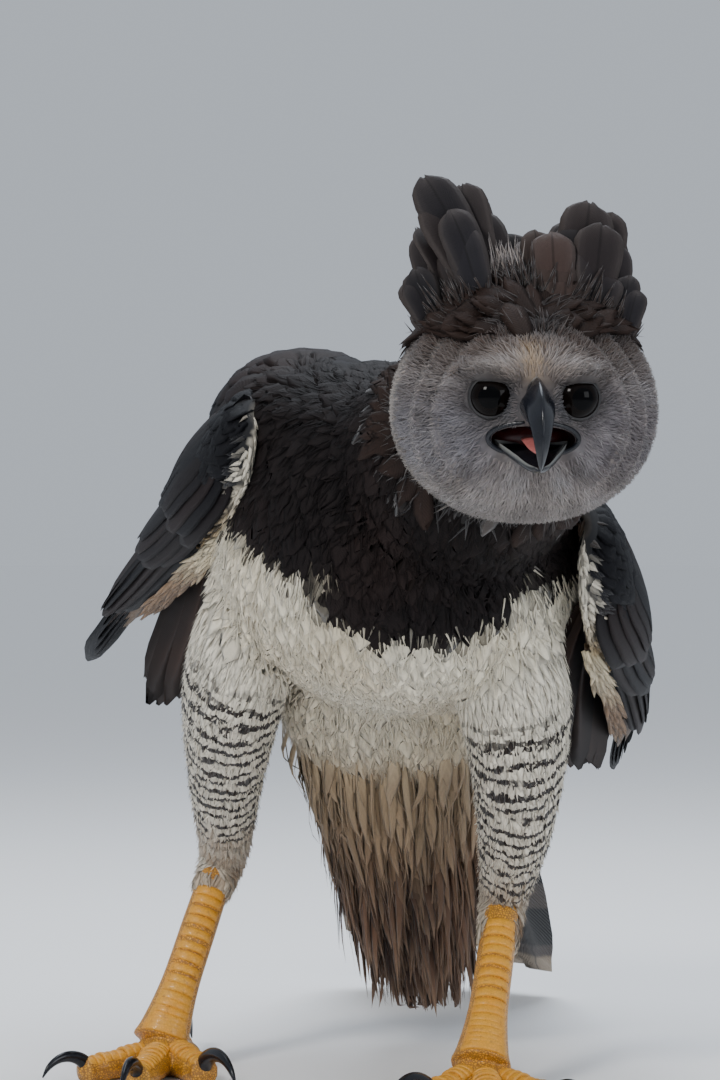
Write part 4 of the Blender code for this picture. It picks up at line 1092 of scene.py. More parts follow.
def coat(name, finish, hide, spots, long, wide, lift, rows=5, lanes=3, profile=POINTED, sink=0.12, sway=0.16, tip=None,
         comb=0.0, camber=0.16, seed=5, fade=1.0):
    """Tufts or small feathers rooted on the skin, bent along it and lifted towards their tips."""
    draw = np.random.default_rng(seed)
    roots, normals, flow = spots["roots"], spots["normals"], spots["flow"]
    many = len(roots)
    long = np.broadcast_to(long, many) * draw.uniform(0.8, 1.2, many)
    wide = np.broadcast_to(wide, many) * draw.uniform(0.8, 1.2, many)
    lift = np.broadcast_to(lift, many) * draw.uniform(0.55, 1.35, many)
    flow = unit(flow + np.cross(normals, flow) * draw.normal(0, sway, many)[:, None])
    middle, middle_normals = hide.nearest(roots + flow * (long / 2)[:, None])
    onward = unit(middle - roots)
    onward = unit(onward - middle_normals * (onward * middle_normals).sum(axis=1, keepdims=True))
    onward = unit(middle + onward * (long / 2)[:, None] - middle) * (long / 2)[:, None]
    end, end_normals = hide.nearest(middle + onward)
    v = np.linspace(0, 1, rows)[None, :, None]
    spine = roots[:, None] * (1 - v) * (1 - 2 * v) + middle[:, None] * 4 * v * (1 - v) + end[:, None] * v * (2 * v - 1)
    rise = unit(normals[:, None] * (1 - v) + end_normals[:, None] * v + middle_normals[:, None] * (1 - abs(2 * v - 1)))
    height = -sink * (1 - v) ** 2 + lift[:, None, None] * v**1.4
    spine = spine + rise * height
    halves = wide[:, None] / 2 * widths_along(profile, rows)[None, :]
    tint = spots["tint"][:, None, None, :] * uneven(draw, 0.86, 1.14, many)
    tint = tint * (1 - 0.35 * fade * (1 - v[..., None]) ** 2)
    if tip is not None:
        colour, share = tip
        share = np.broadcast_to(share, many)[:, None, None] * step_between(0.6, 1.0, v)[..., 0][:, :, None]
        tint = tint + (colour - tint) * share[..., None]
    teeth = draw.uniform(-1, 1, (many, lanes)) * comb * long[:, None] if comb else None
    extra = None
    if "down" in spots and name.startswith("thigh"):
        onto = spots["down"][:, None] + long[:, None] * v[0, :, 0][None, :]
        extra = {"down": onto[:, :, None], "barred": spots["barred"][:, None, None]}
    return vanes(name, finish, spine, rise, halves, lanes, tint, camber, teeth, spots["bake"], extra)


def only(spots, keep):
    return {key: values[keep] for key, values in spots.items()}


def body_coat(hide):
    """Every small feather of the head, neck, body, belly and legs, in pieces by kind."""
    known = hide.known
    fine = plumage_finish("soft grey plumage", 9.0, 3.0, 0.12)
    dark = plumage_finish("dark contour plumage", 90.0, 22.0, 0.0, 0.65, shaft=0.25, specular=0.1)
    pale = plumage_finish("pale downy plumage", 14.0, 4.0, 0.2)
    legs = plumage_finish("barred leg plumage", 12.0, 4.0, 0.15, barred=True)
    made = {}

    def grow(name, finish, spots, *sizes, **more):
        made[name] = coat(name, finish, hide, spots, *sizes, **more)

    face_keep = step_between(0.4, 0.7, known["on_head"]) * step_between(-3.2, -2.2, known["forward"])
    face_keep = face_keep * step_between(5.2, 4.2, known["raised"])
    for k in range(3):
        spots = hide.scatter(face_keep, 0.24, 11 + k)
        spots = only(spots, clear_of_eyes(spots["roots"]))
        ring = np.sqrt(spots["side"] ** 2 + spots["raised"] ** 2)
        near_lid = eye_nearness(spots["roots"])
        long = (0.45 + 0.16 * ring) * (1 - 0.55 * near_lid)
        grow(f"face_tufts_{k}", fine, spots, long, 0.14, 0.07 + 0.022 * ring, rows=3, seed=20 + k, sway=0.3, fade=0.5)

    rear_keep = step_between(0.4, 0.7, known["on_head"]) * np.maximum(
        step_between(-2.2, -3.0, known["forward"]), step_between(4.0, 4.7, known["raised"])
    )
    spots = hide.scatter(rear_keep, 0.52, 13)
    spots["tint"] = paint(spots["tint"], rgb(36, 26, 22), np.full(len(spots["tint"]), 0.85))
    grow("crown_feathers", dark, spots, 3.2, 1.35, 0.6, rows=6, lanes=5, profile=ROUNDED, comb=0.1, sway=0.22,
         tip=(rgb(52, 40, 35), 0.4), seed=23)
    spots = hide.scatter(rear_keep, 0.3, 43)
    grow("crown_strands", fine, spots, 2.2, 0.12, 0.7, rows=3, sway=0.25, tip=(rgb(70, 56, 48), 0.35), seed=44)

    above = known["dark"] * step_between(0.35, 0.6, known["on_neck"] + known["on_torso"])
    back = above * step_between(-6.0, -2.0, hide.points[:, 1]) * step_between(-0.3, 0.2, hide.normals[:, 2])
    spots = hide.scatter(back, 0.9, 14)
    grow("back_feathers", dark, spots, 4.0, 2.2, 0.4, rows=6, lanes=5, profile=ROUNDED, comb=0.04, sway=0.1,
         tip=(rgb(30, 30, 36), 0.4), camber=0.08, seed=24)
    spots = hide.scatter(above * (1 - back), 0.6, 15)
    grow("breast_feathers", dark, spots, 3.0, 1.45, 0.22, rows=5, lanes=5, profile=ROUNDED, comb=0.09, sway=0.12,
         tip=(rgb(32, 25, 24), 0.4), camber=0.07, seed=25)
    spots = hide.scatter(above * (1 - back), 0.38, 33)
    grow("breast_strands", dark, spots, 2.4, 0.19, 0.34, rows=3, sway=0.18, seed=34)

    light = known["on_torso"] * (1 - known["dark"]) + known["on_belly"]
    light = np.clip(light * (1 - step_between(0.35, 0.65, known["on_leg"])) * 1.4, 0, 1)
    spots = hide.scatter(light, 0.64, 16)
    long = 3.2 + 0.12 * spots["vent"] * spots["on_belly"]
    grow("belly_down", pale, spots, long, 1.2, 0.26, rows=5, lanes=4, profile=ROUNDED, comb=0.1, sway=0.16,
         camber=0.08, seed=26)
    for k in range(2):
        spots = hide.scatter(light, 0.47, 18 + k)
        long = 2.6 + 0.1 * spots["vent"] * spots["on_belly"]
        grow(f"belly_strands_{k}", pale, spots, long, 0.2, 0.4, rows=3, sway=0.24, seed=28 + k)

    shins = np.clip(known["on_leg"] * 1.5, 0, 1) * step_between(1.0, 3.0, known["down"])
    spots = hide.scatter(shins, 0.44, 17)
    grow("thigh_plumes", legs, spots, 1.9, 0.66, 0.22, rows=4, lanes=3, sway=0.15, seed=27, fade=0.4)
    spots = hide.scatter(shins, 0.4, 37)
    grow("thigh_strands", legs, spots, 1.7, 0.19, 0.32, rows=3, lanes=3, sway=0.22, seed=47, fade=0.4)
    return made


def clear_of_eyes(points):
    keep = np.ones(len(points), bool)
    for way in (-1, 1):
        eye, gaze, _, _ = gaze_of(way)
        away = points - eye
        off = np.linalg.norm(away - (away @ gaze)[:, None] * gaze, axis=1)
        keep &= (off > 1.2) | ((away @ gaze) < -0.5)
    side, forward, raised = head_places(points)
    keep &= ~((abs(side) < 0.75) & (abs(raised - 0.6) < 1.2) & (forward > 2.0))
    keep &= ~(((side / 2.65) ** 2 + ((raised + 1.3) / 1.12) ** 2 < 1) & (forward > 1.0))
    return keep


# ---------------------------------------------------------------- wings


class WingPanel:
    """The curved surface of a folded wing, read at shares along it and across it."""

    def __init__(self, stations, outward):
        self.rows = smooth_rows([sum(row, ()) for row in stations], 121)
        self.outward = outward

    def at(self, along, across):
        along, across = np.broadcast_arrays(np.clip(along, 0, 1), across)
        place = along * (len(self.rows) - 1)
        k = np.minimum(place.astype(int), len(self.rows) - 2)
        share = (place - k)[..., None]
        row = self.rows[k] * (1 - share) + self.rows[k + 1] * share
        v = across[..., None]
        return row[..., :3] * (1 - v) * (1 - 2 * v) + row[..., 3:6] * 4 * v * (1 - v) + row[..., 6:] * v * (2 * v - 1)

    def slope(self, along, across):
        return (self.at(along, across + 0.01) - self.at(along, across - 0.01)) / 0.02

    def normal(self, along, across):
        ahead = self.at(np.minimum(along + 0.01, 1.0), across) - self.at(np.maximum(along - 0.01, 0.0), across)
        return unit(np.cross(ahead, self.slope(along, across)) * self.outward)


def arm_swell(along, across, deep):
    """How far the padded arm stands out from the panel."""
    k = np.clip(along / ARM_END, 0, 1)
    fade = np.maximum(np.sin(math.pi * (0.2 + 0.78 * k)), 0.02) ** 0.6
    return deep * (1 - abs(2 * across - 1) ** 3) * np.maximum(fade, 0.12)


def panel_feathers(name, finish, panel, roots, tips, half, layers, rows, lanes, tints, profile=ROUNDED, comb=0.0,
                   swell=True, seed=3):
    """Feathers that follow a wing panel from roots to tips, both as shares along and across."""
    draw = np.random.default_rng(seed)
    roots, tips = np.array(roots, float), np.array(tips, float)
    many = len(roots)
    v = np.linspace(0, 1, rows)[None, :]
    along = roots[:, :1] + (tips[:, :1] - roots[:, :1]) * v
    across = roots[:, 1:] + (tips[:, 1:] - roots[:, 1:]) * v
    inside = np.clip(across, 0.0, 1.0)
    normals = panel.normal(along, inside)
    slope = panel.slope(along, inside)
    beyond = slope * (across - inside)[..., None]
    low, high = np.array(layers).T if np.ndim(layers) > 1 else layers
    height = np.reshape(low, (-1, 1)) * (1 - v) + np.reshape(high, (-1, 1)) * v
    if swell:
        height = height + arm_swell(along, inside, ARM_OUT) * step_between(ARM_END + 0.12, ARM_END - 0.1, along)
    spine = panel.at(along, inside) + beyond + normals * height[..., None]
    tint = np.reshape(tints, (-1, 1, 1, 3)) * uneven(draw, 0.85, 1.15, many)
    edge = abs(np.linspace(-1, 1, lanes))[None, None, :, None] ** 3
    tint = tint * (1 + 0.25 * edge + 0.2 * v[..., None, None] ** 3)
    teeth = draw.uniform(-1, 1, (many, lanes)) * comb if comb else None
    return vanes(name, finish, spine, normals, half * widths_along(profile, rows), lanes, tint, 0.1, teeth)


def make_arm(side, panel):
    """The padded arm of a folded wing, as a skin that knows its place on the wing, its lie and its colours."""
    lanes, rings = 24, []
    for k in range(33):
        u = 0.004 + (ARM_END - 0.004) * k / 32
        ring = []
        for way, deep in ((1, ARM_OUT - 0.12), (-1, ARM_IN - 0.1)):
            for i in range(lanes):
                t = i / lanes if way == 1 else 1 - i / lanes
                v = 0.03 + 0.94 * t
                full = arm_swell(u, v, deep) * min(1.0, (u / 0.05) ** 0.5)
                ring.append(panel.at(u, v) + panel.normal(u, v) * way * full)
        rings.append(ring)
    arm = piece_from(f"wing_arm_{side}", [loft(rings, np.mean(rings[0], axis=0), panel.at(ARM_END + 0.02, 0.5))])
    unwrap(arm)
    hide = Hide(arm)
    p, n = hide.points, hide.normals
    us, vs = np.meshgrid(np.linspace(0, ARM_END + 0.05, 40), np.linspace(0, 1, 25), indexing="ij")
    grid = panel.at(us, vs)
    best = np.linalg.norm(p[:, None, :] - grid.reshape(1, -1, 3), axis=2).argmin(axis=1)
    u, v = us.ravel()[best], vs.ravel()[best]
    outside = step_between(-0.25, 0.25, (n * panel.normal(u, v)).sum(axis=1))
    ahead = unit(panel.at(u + 0.03, v) - panel.at(u, v))
    rise = unit(panel.slope(u, v))
    front = step_between(0.4, 0.05, v)[:, None]
    flow = unit(ahead + rise * (0.9 * front * outside[:, None] - 0.7 * (1 - outside[:, None])))
    flow = unit(flow - n * (flow * n).sum(axis=1, keepdims=True))
    grain = ripple(p, 1.0, 51)
    dark = paint(np.tile(rgb(17, 17, 22), (len(p), 1)), rgb(44, 32, 28), ripple(p, 3.5, 52).clip(0, 1) * 0.5)
    white = paint(np.tile(rgb(212, 204, 186), (len(p), 1)), rgb(186, 160, 118), step_between(0.12, 0.34, u))
    teeth = 0.5 + 0.5 * np.sin(u * 150 + ripple(p, 1.5, 53) * 1.2)
    edge = 0.035 + 0.085 * teeth * step_between(0.0, 0.05, u)
    under = (1 - outside) * step_between(0.75, 0.4, v + grain * 0.1)
    pale = np.maximum(step_between(edge + 0.015, edge - 0.015, v), under)
    tint = paint(dark, white, pale)
    # Brown deeper on the arm's underside, towards the armpit: painted shade of the armpit.
    tint = paint(tint, rgb(84, 62, 46), (1 - outside) * step_between(0.3, 0.7, v))
    hide.known = {"flow": flow, "tint": tint, "outside": outside, "across": v, "along": u}
    tell(arm.data, "tint", tint * 0.8)
    wear(arm, skin_finish())
    return arm, hide


def make_wing(side, stations, outward):
    """A folded wing: padded arm, white leading edge with black teeth, tiers of coverts and the long feathers."""
    panel = WingPanel(stations, outward)
    slate = plumage_finish(f"slate wing vanes {side}", 420.0, 70.0, 0.0, 0.6, shaft=0.4, specular=0.12)
    soft = plumage_finish(f"wing down {side}", 40.0, 9.0, 0.1, 0.65)
    arm, hide = make_arm(side, panel)
    made = [arm]
    outer = step_between(0.2, 0.6, hide.known["outside"]) * step_between(0.12, 0.2, hide.known["across"])
    spots = hide.scatter(outer, 0.55, 61)
    spots["tint"] = np.tile(rgb(15, 15, 19), (len(spots["tint"]), 1))
    made.append(coat(f"lesser_coverts_{side}", slate, hide, spots, 2.3, 1.25, 0.25, rows=5, lanes=5, profile=ROUNDED,
                     comb=0.05, sway=0.1, camber=0.08, seed=62, fade=0.5))
    spots = hide.scatter(1 - outer, 0.34, 63)
    long = 1.1 + 1.4 * (1 - spots["outside"]) * step_between(0.1, 0.3, spots["along"])
    made.append(coat(f"marginal_coverts_{side}", soft, hide, spots, long, 0.38, 0.14, rows=4, lanes=3, comb=0.05,
                     sway=0.22, seed=64, fade=0.5))

    black, brown, white = rgb(13, 13, 17), rgb(40, 29, 26), rgb(206, 190, 158)
    draw = np.random.default_rng(len(side))

    def tier(name, count, first_root, last_root, first_tip, last_tip, half, layers, rows):
        share = np.linspace(0, 1, count)[:, None]
        roots = vec(first_root) + (vec(last_root) - vec(first_root)) * share
        tips = vec(first_tip) + (vec(last_tip) - vec(first_tip)) * share
        tips = tips + draw.normal(0, (0.012, 0.006), (count, 2))
        lift = np.linspace(0.0, 0.35, count)
        heights = np.stack([layers[0] + lift, layers[1] + lift], axis=1)
        tints = paint(np.tile(black, (count, 1)), brown, draw.random(count) * 0.5)
        made.append(
            panel_feathers(f"{name}_{side}", slate, panel, roots, tips, half, heights, rows, 7, tints, BLADE, 0.06)
        )

    tier("secondaries", 13, (0.24, 0.14), (0.24, 0.92), (0.68, 0.2), (0.84, 0.86), 1.4, (-0.5, -0.15), 18)
    tier("greater_coverts", 13, (0.22, 0.14), (0.22, 0.9), (0.5, 0.18), (0.6, 0.86), 1.2, (-0.25, 0.45), 14)
    tier("median_coverts", 14, (0.18, 0.12), (0.18, 0.9), (0.37, 0.14), (0.45, 0.86), 1.05, (-0.15, 0.65), 12)

    roots, tips, tints, heights = [], [], [], []
    for row in range(4):
        for k in range(60):
            u = 0.3 + 0.29 * (k + 0.5 * (row % 2)) / 60
            v = -0.012 + 0.016 * row
            if draw.random() > (1.0, 1.0, 0.6, 0.3)[row] * (1 - max(0.0, u - 0.4) * 2.0):
                continue
            roots.append((u, v))
            tips.append((u + 0.055 + draw.normal(0, 0.008), v + 0.012 + 0.02 * draw.normal()))
            tints.append(paint(white, rgb(124, 96, 68), step_between(0.34, 0.5, u)) * draw.uniform(0.7, 1.0))
            heights.append((0.05, 0.2 + 0.08 * row))
    edge_name, under_name = f"leading_edge_{side}", f"under_coverts_{side}"
    made.append(panel_feathers(edge_name, soft, panel, roots, tips, 0.2, np.array(heights), 5, 3, tints, POINTED, 0.1))

    roots, tips, tints, heights = [], [], [], []
    for k in range(170):
        u, v = draw.uniform(0.2, 0.6), draw.uniform(0.02, 0.5)
        roots.append((u, v))
        tips.append((u + draw.uniform(0.1, 0.2), max(v - draw.uniform(0.0, 0.12), 0.01)))
        # Tan near the leading edge, darkening to brown deeper in: the tan is the coverts' own colour, the brown is
        # painted shade of the armpit.
        share = np.clip(0.35 + v * 3 + draw.normal(0, 0.2), 0, 1)
        tints.append(rgb(122, 98, 70) * (1 - share) + rgb(46, 33, 27) * share)
        heights.append((-0.3 - 0.5 * (u < 0.36), -0.75 - 0.5 * draw.random()))
    made.append(
        panel_feathers(
            under_name, soft, panel, roots, tips, 0.42, np.array(heights), 7, 5, tints, POINTED, 0.25, swell=False
        )
    )

    count = 7
    share = np.linspace(0, 1, count)
    roots = np.stack([np.full(count, 0.27), 0.3 - 0.04 * share], axis=1)
    v_tip = 0.10 + 0.34 * share
    tips = np.stack([1.0 - 0.22 * share, v_tip], axis=1)
    behind = count - 1 - np.arange(count)
    heights = np.stack([-0.75 - 0.16 * behind, -0.7 - 0.12 * behind], axis=1)
    made.append(
        panel_feathers(f"primaries_{side}", slate, panel, roots, tips, 0.95, heights, 18, 7, black, BLADE, swell=False)
    )

    first_tip, last_tip = (vec(p) for p in DROOPS[side])
    count, rows, lanes = 12, 16, 9
    share = np.linspace(-0.55, 1.12, count)
    tip = first_tip + (last_tip - first_tip) * share[:, None] + draw.normal(0, (0.2, 0.3, 0.5), (count, 3))
    root = panel.at(0.22 + 0.12 * share, 0.3) - panel.normal(0.22 + 0.12 * share, np.full(count, 0.3)) * 0.7
    ahead = unit(tip - root)
    spread = last_tip - first_tip
    across = unit(spread - ahead * (ahead @ spread)[:, None])
    out = np.cross(ahead, across) * -outward
    v = np.linspace(0, 1, rows)[None, :, None]
    lift = (0.16 * np.arange(count) + draw.uniform(0, 0.3, count))[:, None, None] + np.sin(math.pi * v)
    spine = root[:, None] + (tip - root)[:, None] * v + out[:, None] * lift
    halves = 1.05 * widths_along(BLADE, rows)[None, :] * draw.uniform(0.9, 1.15, (count, 1))
    shade = paint(np.tile(rgb(24, 18, 17), (count, 1)), rgb(84, 56, 40), draw.uniform(0.0, 0.6, count))
    teeth = draw.uniform(-1, 1, (count, lanes)) * 0.25
    tint = shade[:, None, None, :] * (1 - 0.45 * step_between(0.75, 1.0, v)[..., None])
    made.append(vanes(f"under_secondaries_{side}", slate, spine, out[:, None], halves, lanes, tint, 0.16, teeth))
    return made


# ---------------------------------------------------------------- crest and tail


def make_crest():
    """The raised crest: broad rounded slate feathers in two groups, with smaller ones at their feet."""
    draw = np.random.default_rng(SEED)
    slate = plumage_finish("crest vanes", 420.0, 70.0, 0.0, 0.6, shaft=0.45, specular=0.14)
    rows_of = [(*row, 1.0) for row in CREST]
    for root_side, root_raise, tip_side, tip_raise, half, depth in CREST:
        for share, deeper in ((0.45, -0.5), (0.62, 0.5), (0.78, -0.3), (0.9, 0.6)):
            turn = draw.normal(0, 0.45)
            side = root_side + (tip_side - root_side) * share + turn
            raised = root_raise + (tip_raise - root_raise) * share + draw.normal(0, 0.25)
            rows_of.append((root_side + turn * 0.5, root_raise - 0.4, side, raised, half * 0.95, depth + deeper, 0.9))
    data = np.array(rows_of)
    many, rows, lanes = len(data), 16, 9
    root = HEAD_ORIGIN + data[:, :1] * HEAD_SIDE - data[:, 5:6] * HEAD_LOOK + data[:, 1:2] * HEAD_UP
    tip = HEAD_ORIGIN + data[:, 2:3] * HEAD_SIDE - data[:, 5:6] * HEAD_LOOK + data[:, 3:4] * HEAD_UP
    long = np.linalg.norm(tip - root, axis=1)
    ahead = unit(tip - root)
    share = 1 - (1 - np.linspace(0, 1, rows)) ** 1.6
    v = share[None, :, None]
    curl = CREST_CURL * draw.uniform(0.6, 1.4, many)[:, None, None]
    bow = np.cross(ahead, HEAD_LOOK) * draw.normal(0, 0.28, many)[:, None]
    spine = root[:, None] + ahead[:, None] * long[:, None, None] * v - HEAD_LOOK * curl * v**2
    spine = spine + bow[:, None] * (v - v**2) * 2
    normals = unit(HEAD_LOOK + ahead[:, None] * 2 * curl / long[:, None, None] * v + bow[:, None] * 0.8)
    halves = data[:, 4:5] * 1.08 * np.interp(share, *np.array(BROAD).T)[None, :]
    base = np.tile(rgb(25, 24, 28), (many, 1))
    base = paint(base, rgb(46, 37, 34), draw.random(many) * 0.5)
    base[8] = rgb(60, 47, 43)
    base[9] = rgb(46, 37, 34)
    base[len(CREST) + 32 : len(CREST) + 36] = rgb(52, 41, 37)
    tint = base[:, None, None, :] * uneven(draw, 0.8, 1.2, many)
    edge = abs(np.linspace(-1, 1, lanes))[None, None, :, None]
    tint = tint + (rgb(96, 88, 84) - tint) * (0.5 * edge**6 + 0.3 * v[..., None] ** 12 * (1 - edge**2))
    teeth = draw.uniform(-1, 1, (many, lanes)) * 0.14
    made = [vanes("crest_feathers", slate, spine, normals, halves, lanes, tint, 0.2, teeth, along=share)]

    down = plumage_finish("crest down", 14.0, 3.0, 0.2)
    for name, many, sides, depths, raises, longs, colour, width in (
        ("crest_down", 240, (-2.6, -0.3), (0.8, 3.0), (6.0, 8.0), (1.2, 2.4), rgb(140, 130, 124), 0.04),
        ("crest_feet", 900, (-5.2, 5.4), (-0.2, 2.4), (4.6, 7.0), (1.2, 2.6), rgb(46, 36, 32), 0.07),
    ):
        rows = 5
        side = draw.uniform(*sides, many)
        raised = draw.uniform(*raises, many) - 0.07 * side**2
        behind = draw.uniform(*depths, many)[:, None]
        root = HEAD_ORIGIN + HEAD_SIDE * side[:, None] - HEAD_LOOK * behind + HEAD_UP * raised[:, None]
        lean = HEAD_UP + HEAD_SIDE * (0.12 * side + draw.normal(0, 0.25, many))[:, None]
        lean = unit(lean - HEAD_LOOK * draw.uniform(0, 0.6, many)[:, None])
        v = np.linspace(0, 1, rows)[None, :, None]
        spine = root[:, None] + lean[:, None] * draw.uniform(*longs, many)[:, None, None] * v - HEAD_LOOK * 0.5 * v**2
        halves = width * widths_along(POINTED, rows)
        made.append(vanes(name, down, spine, HEAD_LOOK, halves, 3, colour * uneven(draw, 0.6, 1.2, many), 0.2))
    return made


def make_tail():
    """Twelve long tail feathers in a shallow fan, with rows of coverts over and under their base."""
    root, tip = vec(TAIL_ROOT), vec(TAIL_TIP)
    ahead = unit(tip - root)
    roll = math.radians(TAIL_ROLL)
    across = vec((math.cos(roll), 0, -math.sin(roll)))
    across = unit(across - ahead * (across @ ahead))
    up = unit(np.cross(across, ahead))
    if up[2] < 0:
        up = -up
    long = float(np.linalg.norm(tip - root))
    base = piece_from(
        "tail_base",
        [
            tube(
                [
                    (*(root - ahead * 1.5), 3.5, 2.3, 1.8),
                    (*(root + ahead * 2.0), 4.5, 2.1, 1.6),
                    (*(root + ahead * 6.0), 4.6, 1.4, 1.1),
                    (*(root + ahead * 9.5), 3.4, 0.7, 0.6),
                ],
                20,
                32,
                side=-across,
            )
        ],
    )
    tell(base.data, "tint", np.tile(rgb(30, 29, 31), (len(base.data.vertices), 1)))
    wear(base, skin_finish())
    count, rows, lanes = len(TAIL_LEVELS), 22, 9
    v = np.linspace(0, 1, rows)
    half = (count - 1) / 2
    share = (np.arange(count) - half) / half
    level = np.array(TAIL_LEVELS, float)
    spread = TAIL_ROOT_SPREAD + (TAIL_TIP_SPREAD - TAIL_ROOT_SPREAD) * v
    reach = long * (0.02 + 0.98 * v)[None, :] * (1 - 0.035 * share**2)[:, None]
    rise = level[:, None] * TAIL_LAYER - 1.1 - 0.8 * share[:, None] ** 2 * v[None, :]
    spine = root + ahead * reach[..., None] + across * (share[:, None] * spread)[..., None] + up * rise[..., None]
    halves = TAIL_HALF_WIDTH * np.maximum(widths_along(BLADE, rows), 0.3)
    halves[-1] *= 1.6
    draw = np.random.default_rng(8)
    teeth = draw.uniform(-1, 1, (count, lanes)) * 0.12
    rectrices = vanes("tail_feathers", tail_finish(), spine, up, halves, lanes, np.full(3, 0.05), 0.05, teeth)
    slate = plumage_finish("tail covert vanes", 300.0, 60.0, 0.0, 0.55, shaft=0.4)
    pieces = [base, rectrices]
    for name, way, count, far, colour in (
        ("upper_tail_coverts", 1, 42, 12.5, rgb(22, 21, 26)),
        ("lower_tail_coverts", -1, 36, 10.0, rgb(122, 96, 76)),
    ):
        side = draw.uniform(-1, 1, count)
        start = draw.uniform(-2.0, 4.5, count)
        start = np.sort(start)[::-1]
        length = far - start * 0.9
        v = np.linspace(0, 1, 8)[None, :]
        spread = (3.0 + 1.4 * v) * side[:, None]
        rise = way * (1.5 + 0.05 * np.arange(count) / 2)[:, None] * (1 - 0.45 * v)
        rise = rise * np.sqrt(1 - 0.5 * side[:, None] ** 2)
        rise = rise - (0.4 if way < 0 else 0.0)
        spine = root + ahead * (start[:, None] + length[:, None] * v)[..., None]
        spine = spine + across * spread[..., None] + up * rise[..., None]
        tint = colour * uneven(draw, 0.8, 1.2, count)
        pieces.append(vanes(name, slate, spine, up * way, 1.2 * widths_along(ROUNDED, 8), 5, tint, 0.1))
    return pieces


def make_undertail(hide):
    """Long loose pointed feathers that hang from the belly and the vent, rufous with pale tips."""
    known = hide.known
    soft = plumage_finish("loose undertail plumage", 30.0, 8.0, 0.1)
    keep = known["on_belly"] * step_between(8.0, 14.0, known["vent"])
    made = []
    for name, spacing, wide, comb, seed in (
        ("undertail_plumes", 0.6, 0.36, 0.35, 31),
        ("undertail_wisps", 0.48, 0.11, 0.0, 38),
    ):
        spots = hide.scatter(np.clip(keep, 0, 1), spacing, seed)
        draw = np.random.default_rng(seed + 1)
        roots, normals = spots["roots"], spots["normals"]
        many, rows, lanes = len(roots), 7, 5 if comb else 3
        low = step_between(10, 19, spots["vent"])
        long = draw.uniform(4.0, 9.0, many) * (0.7 + 0.55 * low)
        down = spots["flow"] * (1.2 - 1.0 * low)[:, None] + vec((0.1, 0.22, -1.0))
        down = unit(down + draw.normal(0, 0.07, (many, 3)))
        v = np.linspace(0, 1, rows)[None, :, None]
        wave = draw.normal(0, 0.35, (many, 1, 3)) * np.sin(v * 3.5 + draw.uniform(0, 6, (many, 1, 1)))
        spine = roots[:, None] + down[:, None] * long[:, None, None] * v + wave * v
        spine = spine + normals[:, None] * (0.4 * np.sin(math.pi * v * 0.7) - 0.1)
        spine[..., 2] = np.maximum(spine[..., 2], 2.6)
        halves = (wide * draw.uniform(0.7, 1.4, many))[:, None] * widths_along(POINTED, rows)[None, :]
        streak = ripple(roots * (1, 1, 0.12), 1.3, 36)
        dark = (0.5 + 0.6 * streak + draw.normal(0, 0.2, many)).clip(0, 1)
        warm = paint(np.tile(rgb(104, 78, 62), (many, 1)), rgb(46, 32, 28), dark)
        base = paint(spots["tint"], warm, 0.1 + 0.9 * low)
        warm = paint(spots["tint"], warm, 0.45 + 0.55 * low)
        tint = base[:, None, None, :] + (warm - base)[:, None, None, :] * step_between(0.1, 0.6, v)[..., None]
        tint = tint + (rgb(150, 126, 104) - tint) * step_between(0.75, 1.0, v)[..., None] * 0.55
        teeth = draw.uniform(-1, 1, (many, lanes)) * comb
        made.append(vanes(name, soft, spine, normals[:, None], halves, lanes, tint, 0.2, teeth, spots["bake"]))
    return made


# ---------------------------------------------------------------- eyes and bill


# The lid's section as degrees off the gaze and reach from the eye's centre.
LID_PROFILE = (
    (100, 1.26),
    (88, 1.32),
    (76, 1.36),
    (68, 1.385),
    (62, 1.38),
    (58, 1.355),
    (56, 1.33),
    (56, 1.31),
    (60, 1.27),
    (75, 1.24),
    (95, 1.22),
)
LID_OPENING, LID_BROW = 56, 43


def make_eyes():
    """The eyeballs, each with one thin dark rim of lid around its opening."""
    finish, lids = eye_finish(), lid_finish()
    made = {}
    for name, way in (("eye_right", -1), ("eye_left", 1)):
        eye, gaze, level, rise = gaze_of(way)
        piece = piece_from(f"{name}_ball", [ball(eye, (level, rise, gaze), (EYE_RADIUS,) * 3, 64, 48)], finish)
        tell(piece.data, "gaze", unit(places_of(piece) - eye) @ gaze)
        made[name] = piece
        turns = 2 * math.pi * np.arange(64) / 64
        out = level * np.cos(turns)[:, None] + rise * np.sin(turns)[:, None]
        rings = []
        for angle, reach in LID_PROFILE:
            brow = np.maximum(LID_OPENING - LID_BROW / np.maximum(np.sin(turns), 0.1), 0)
            tilt = np.radians(angle - brow - 2.0 * np.sin(turns) ** 2)[:, None]
            rings.append(eye + (gaze * np.cos(tilt) + out * np.sin(tilt)) * reach)
        faces = []
        for i in range(len(rings)):
            low, high = i * 64, (i + 1) % len(rings) * 64
            faces += [(low + k, low + (k + 1) % 64, high + (k + 1) % 64, high + k) for k in range(64)]
        made[f"{name}_lids"] = piece_from(f"{name}_lids", [(np.vstack(rings), faces)], lids)
    return made


def upper_bill_shape(wide, rise, along):
    """A keeled top over hollow flanks and a cutting edge below."""
    pinch = 0.62 * np.maximum(rise, 0) ** 1.1
    return wide * (1 - pinch), rise * (1 - 0.12 * np.maximum(-rise, 0) * abs(wide))


def lower_bill_shape(wide, rise, along):
    """A scoop whose thin rims stand above its floor."""
    rim = abs(wide) ** 4 * 1.5 - 0.55
    return wide, np.where(rise > 0, rim, rise)


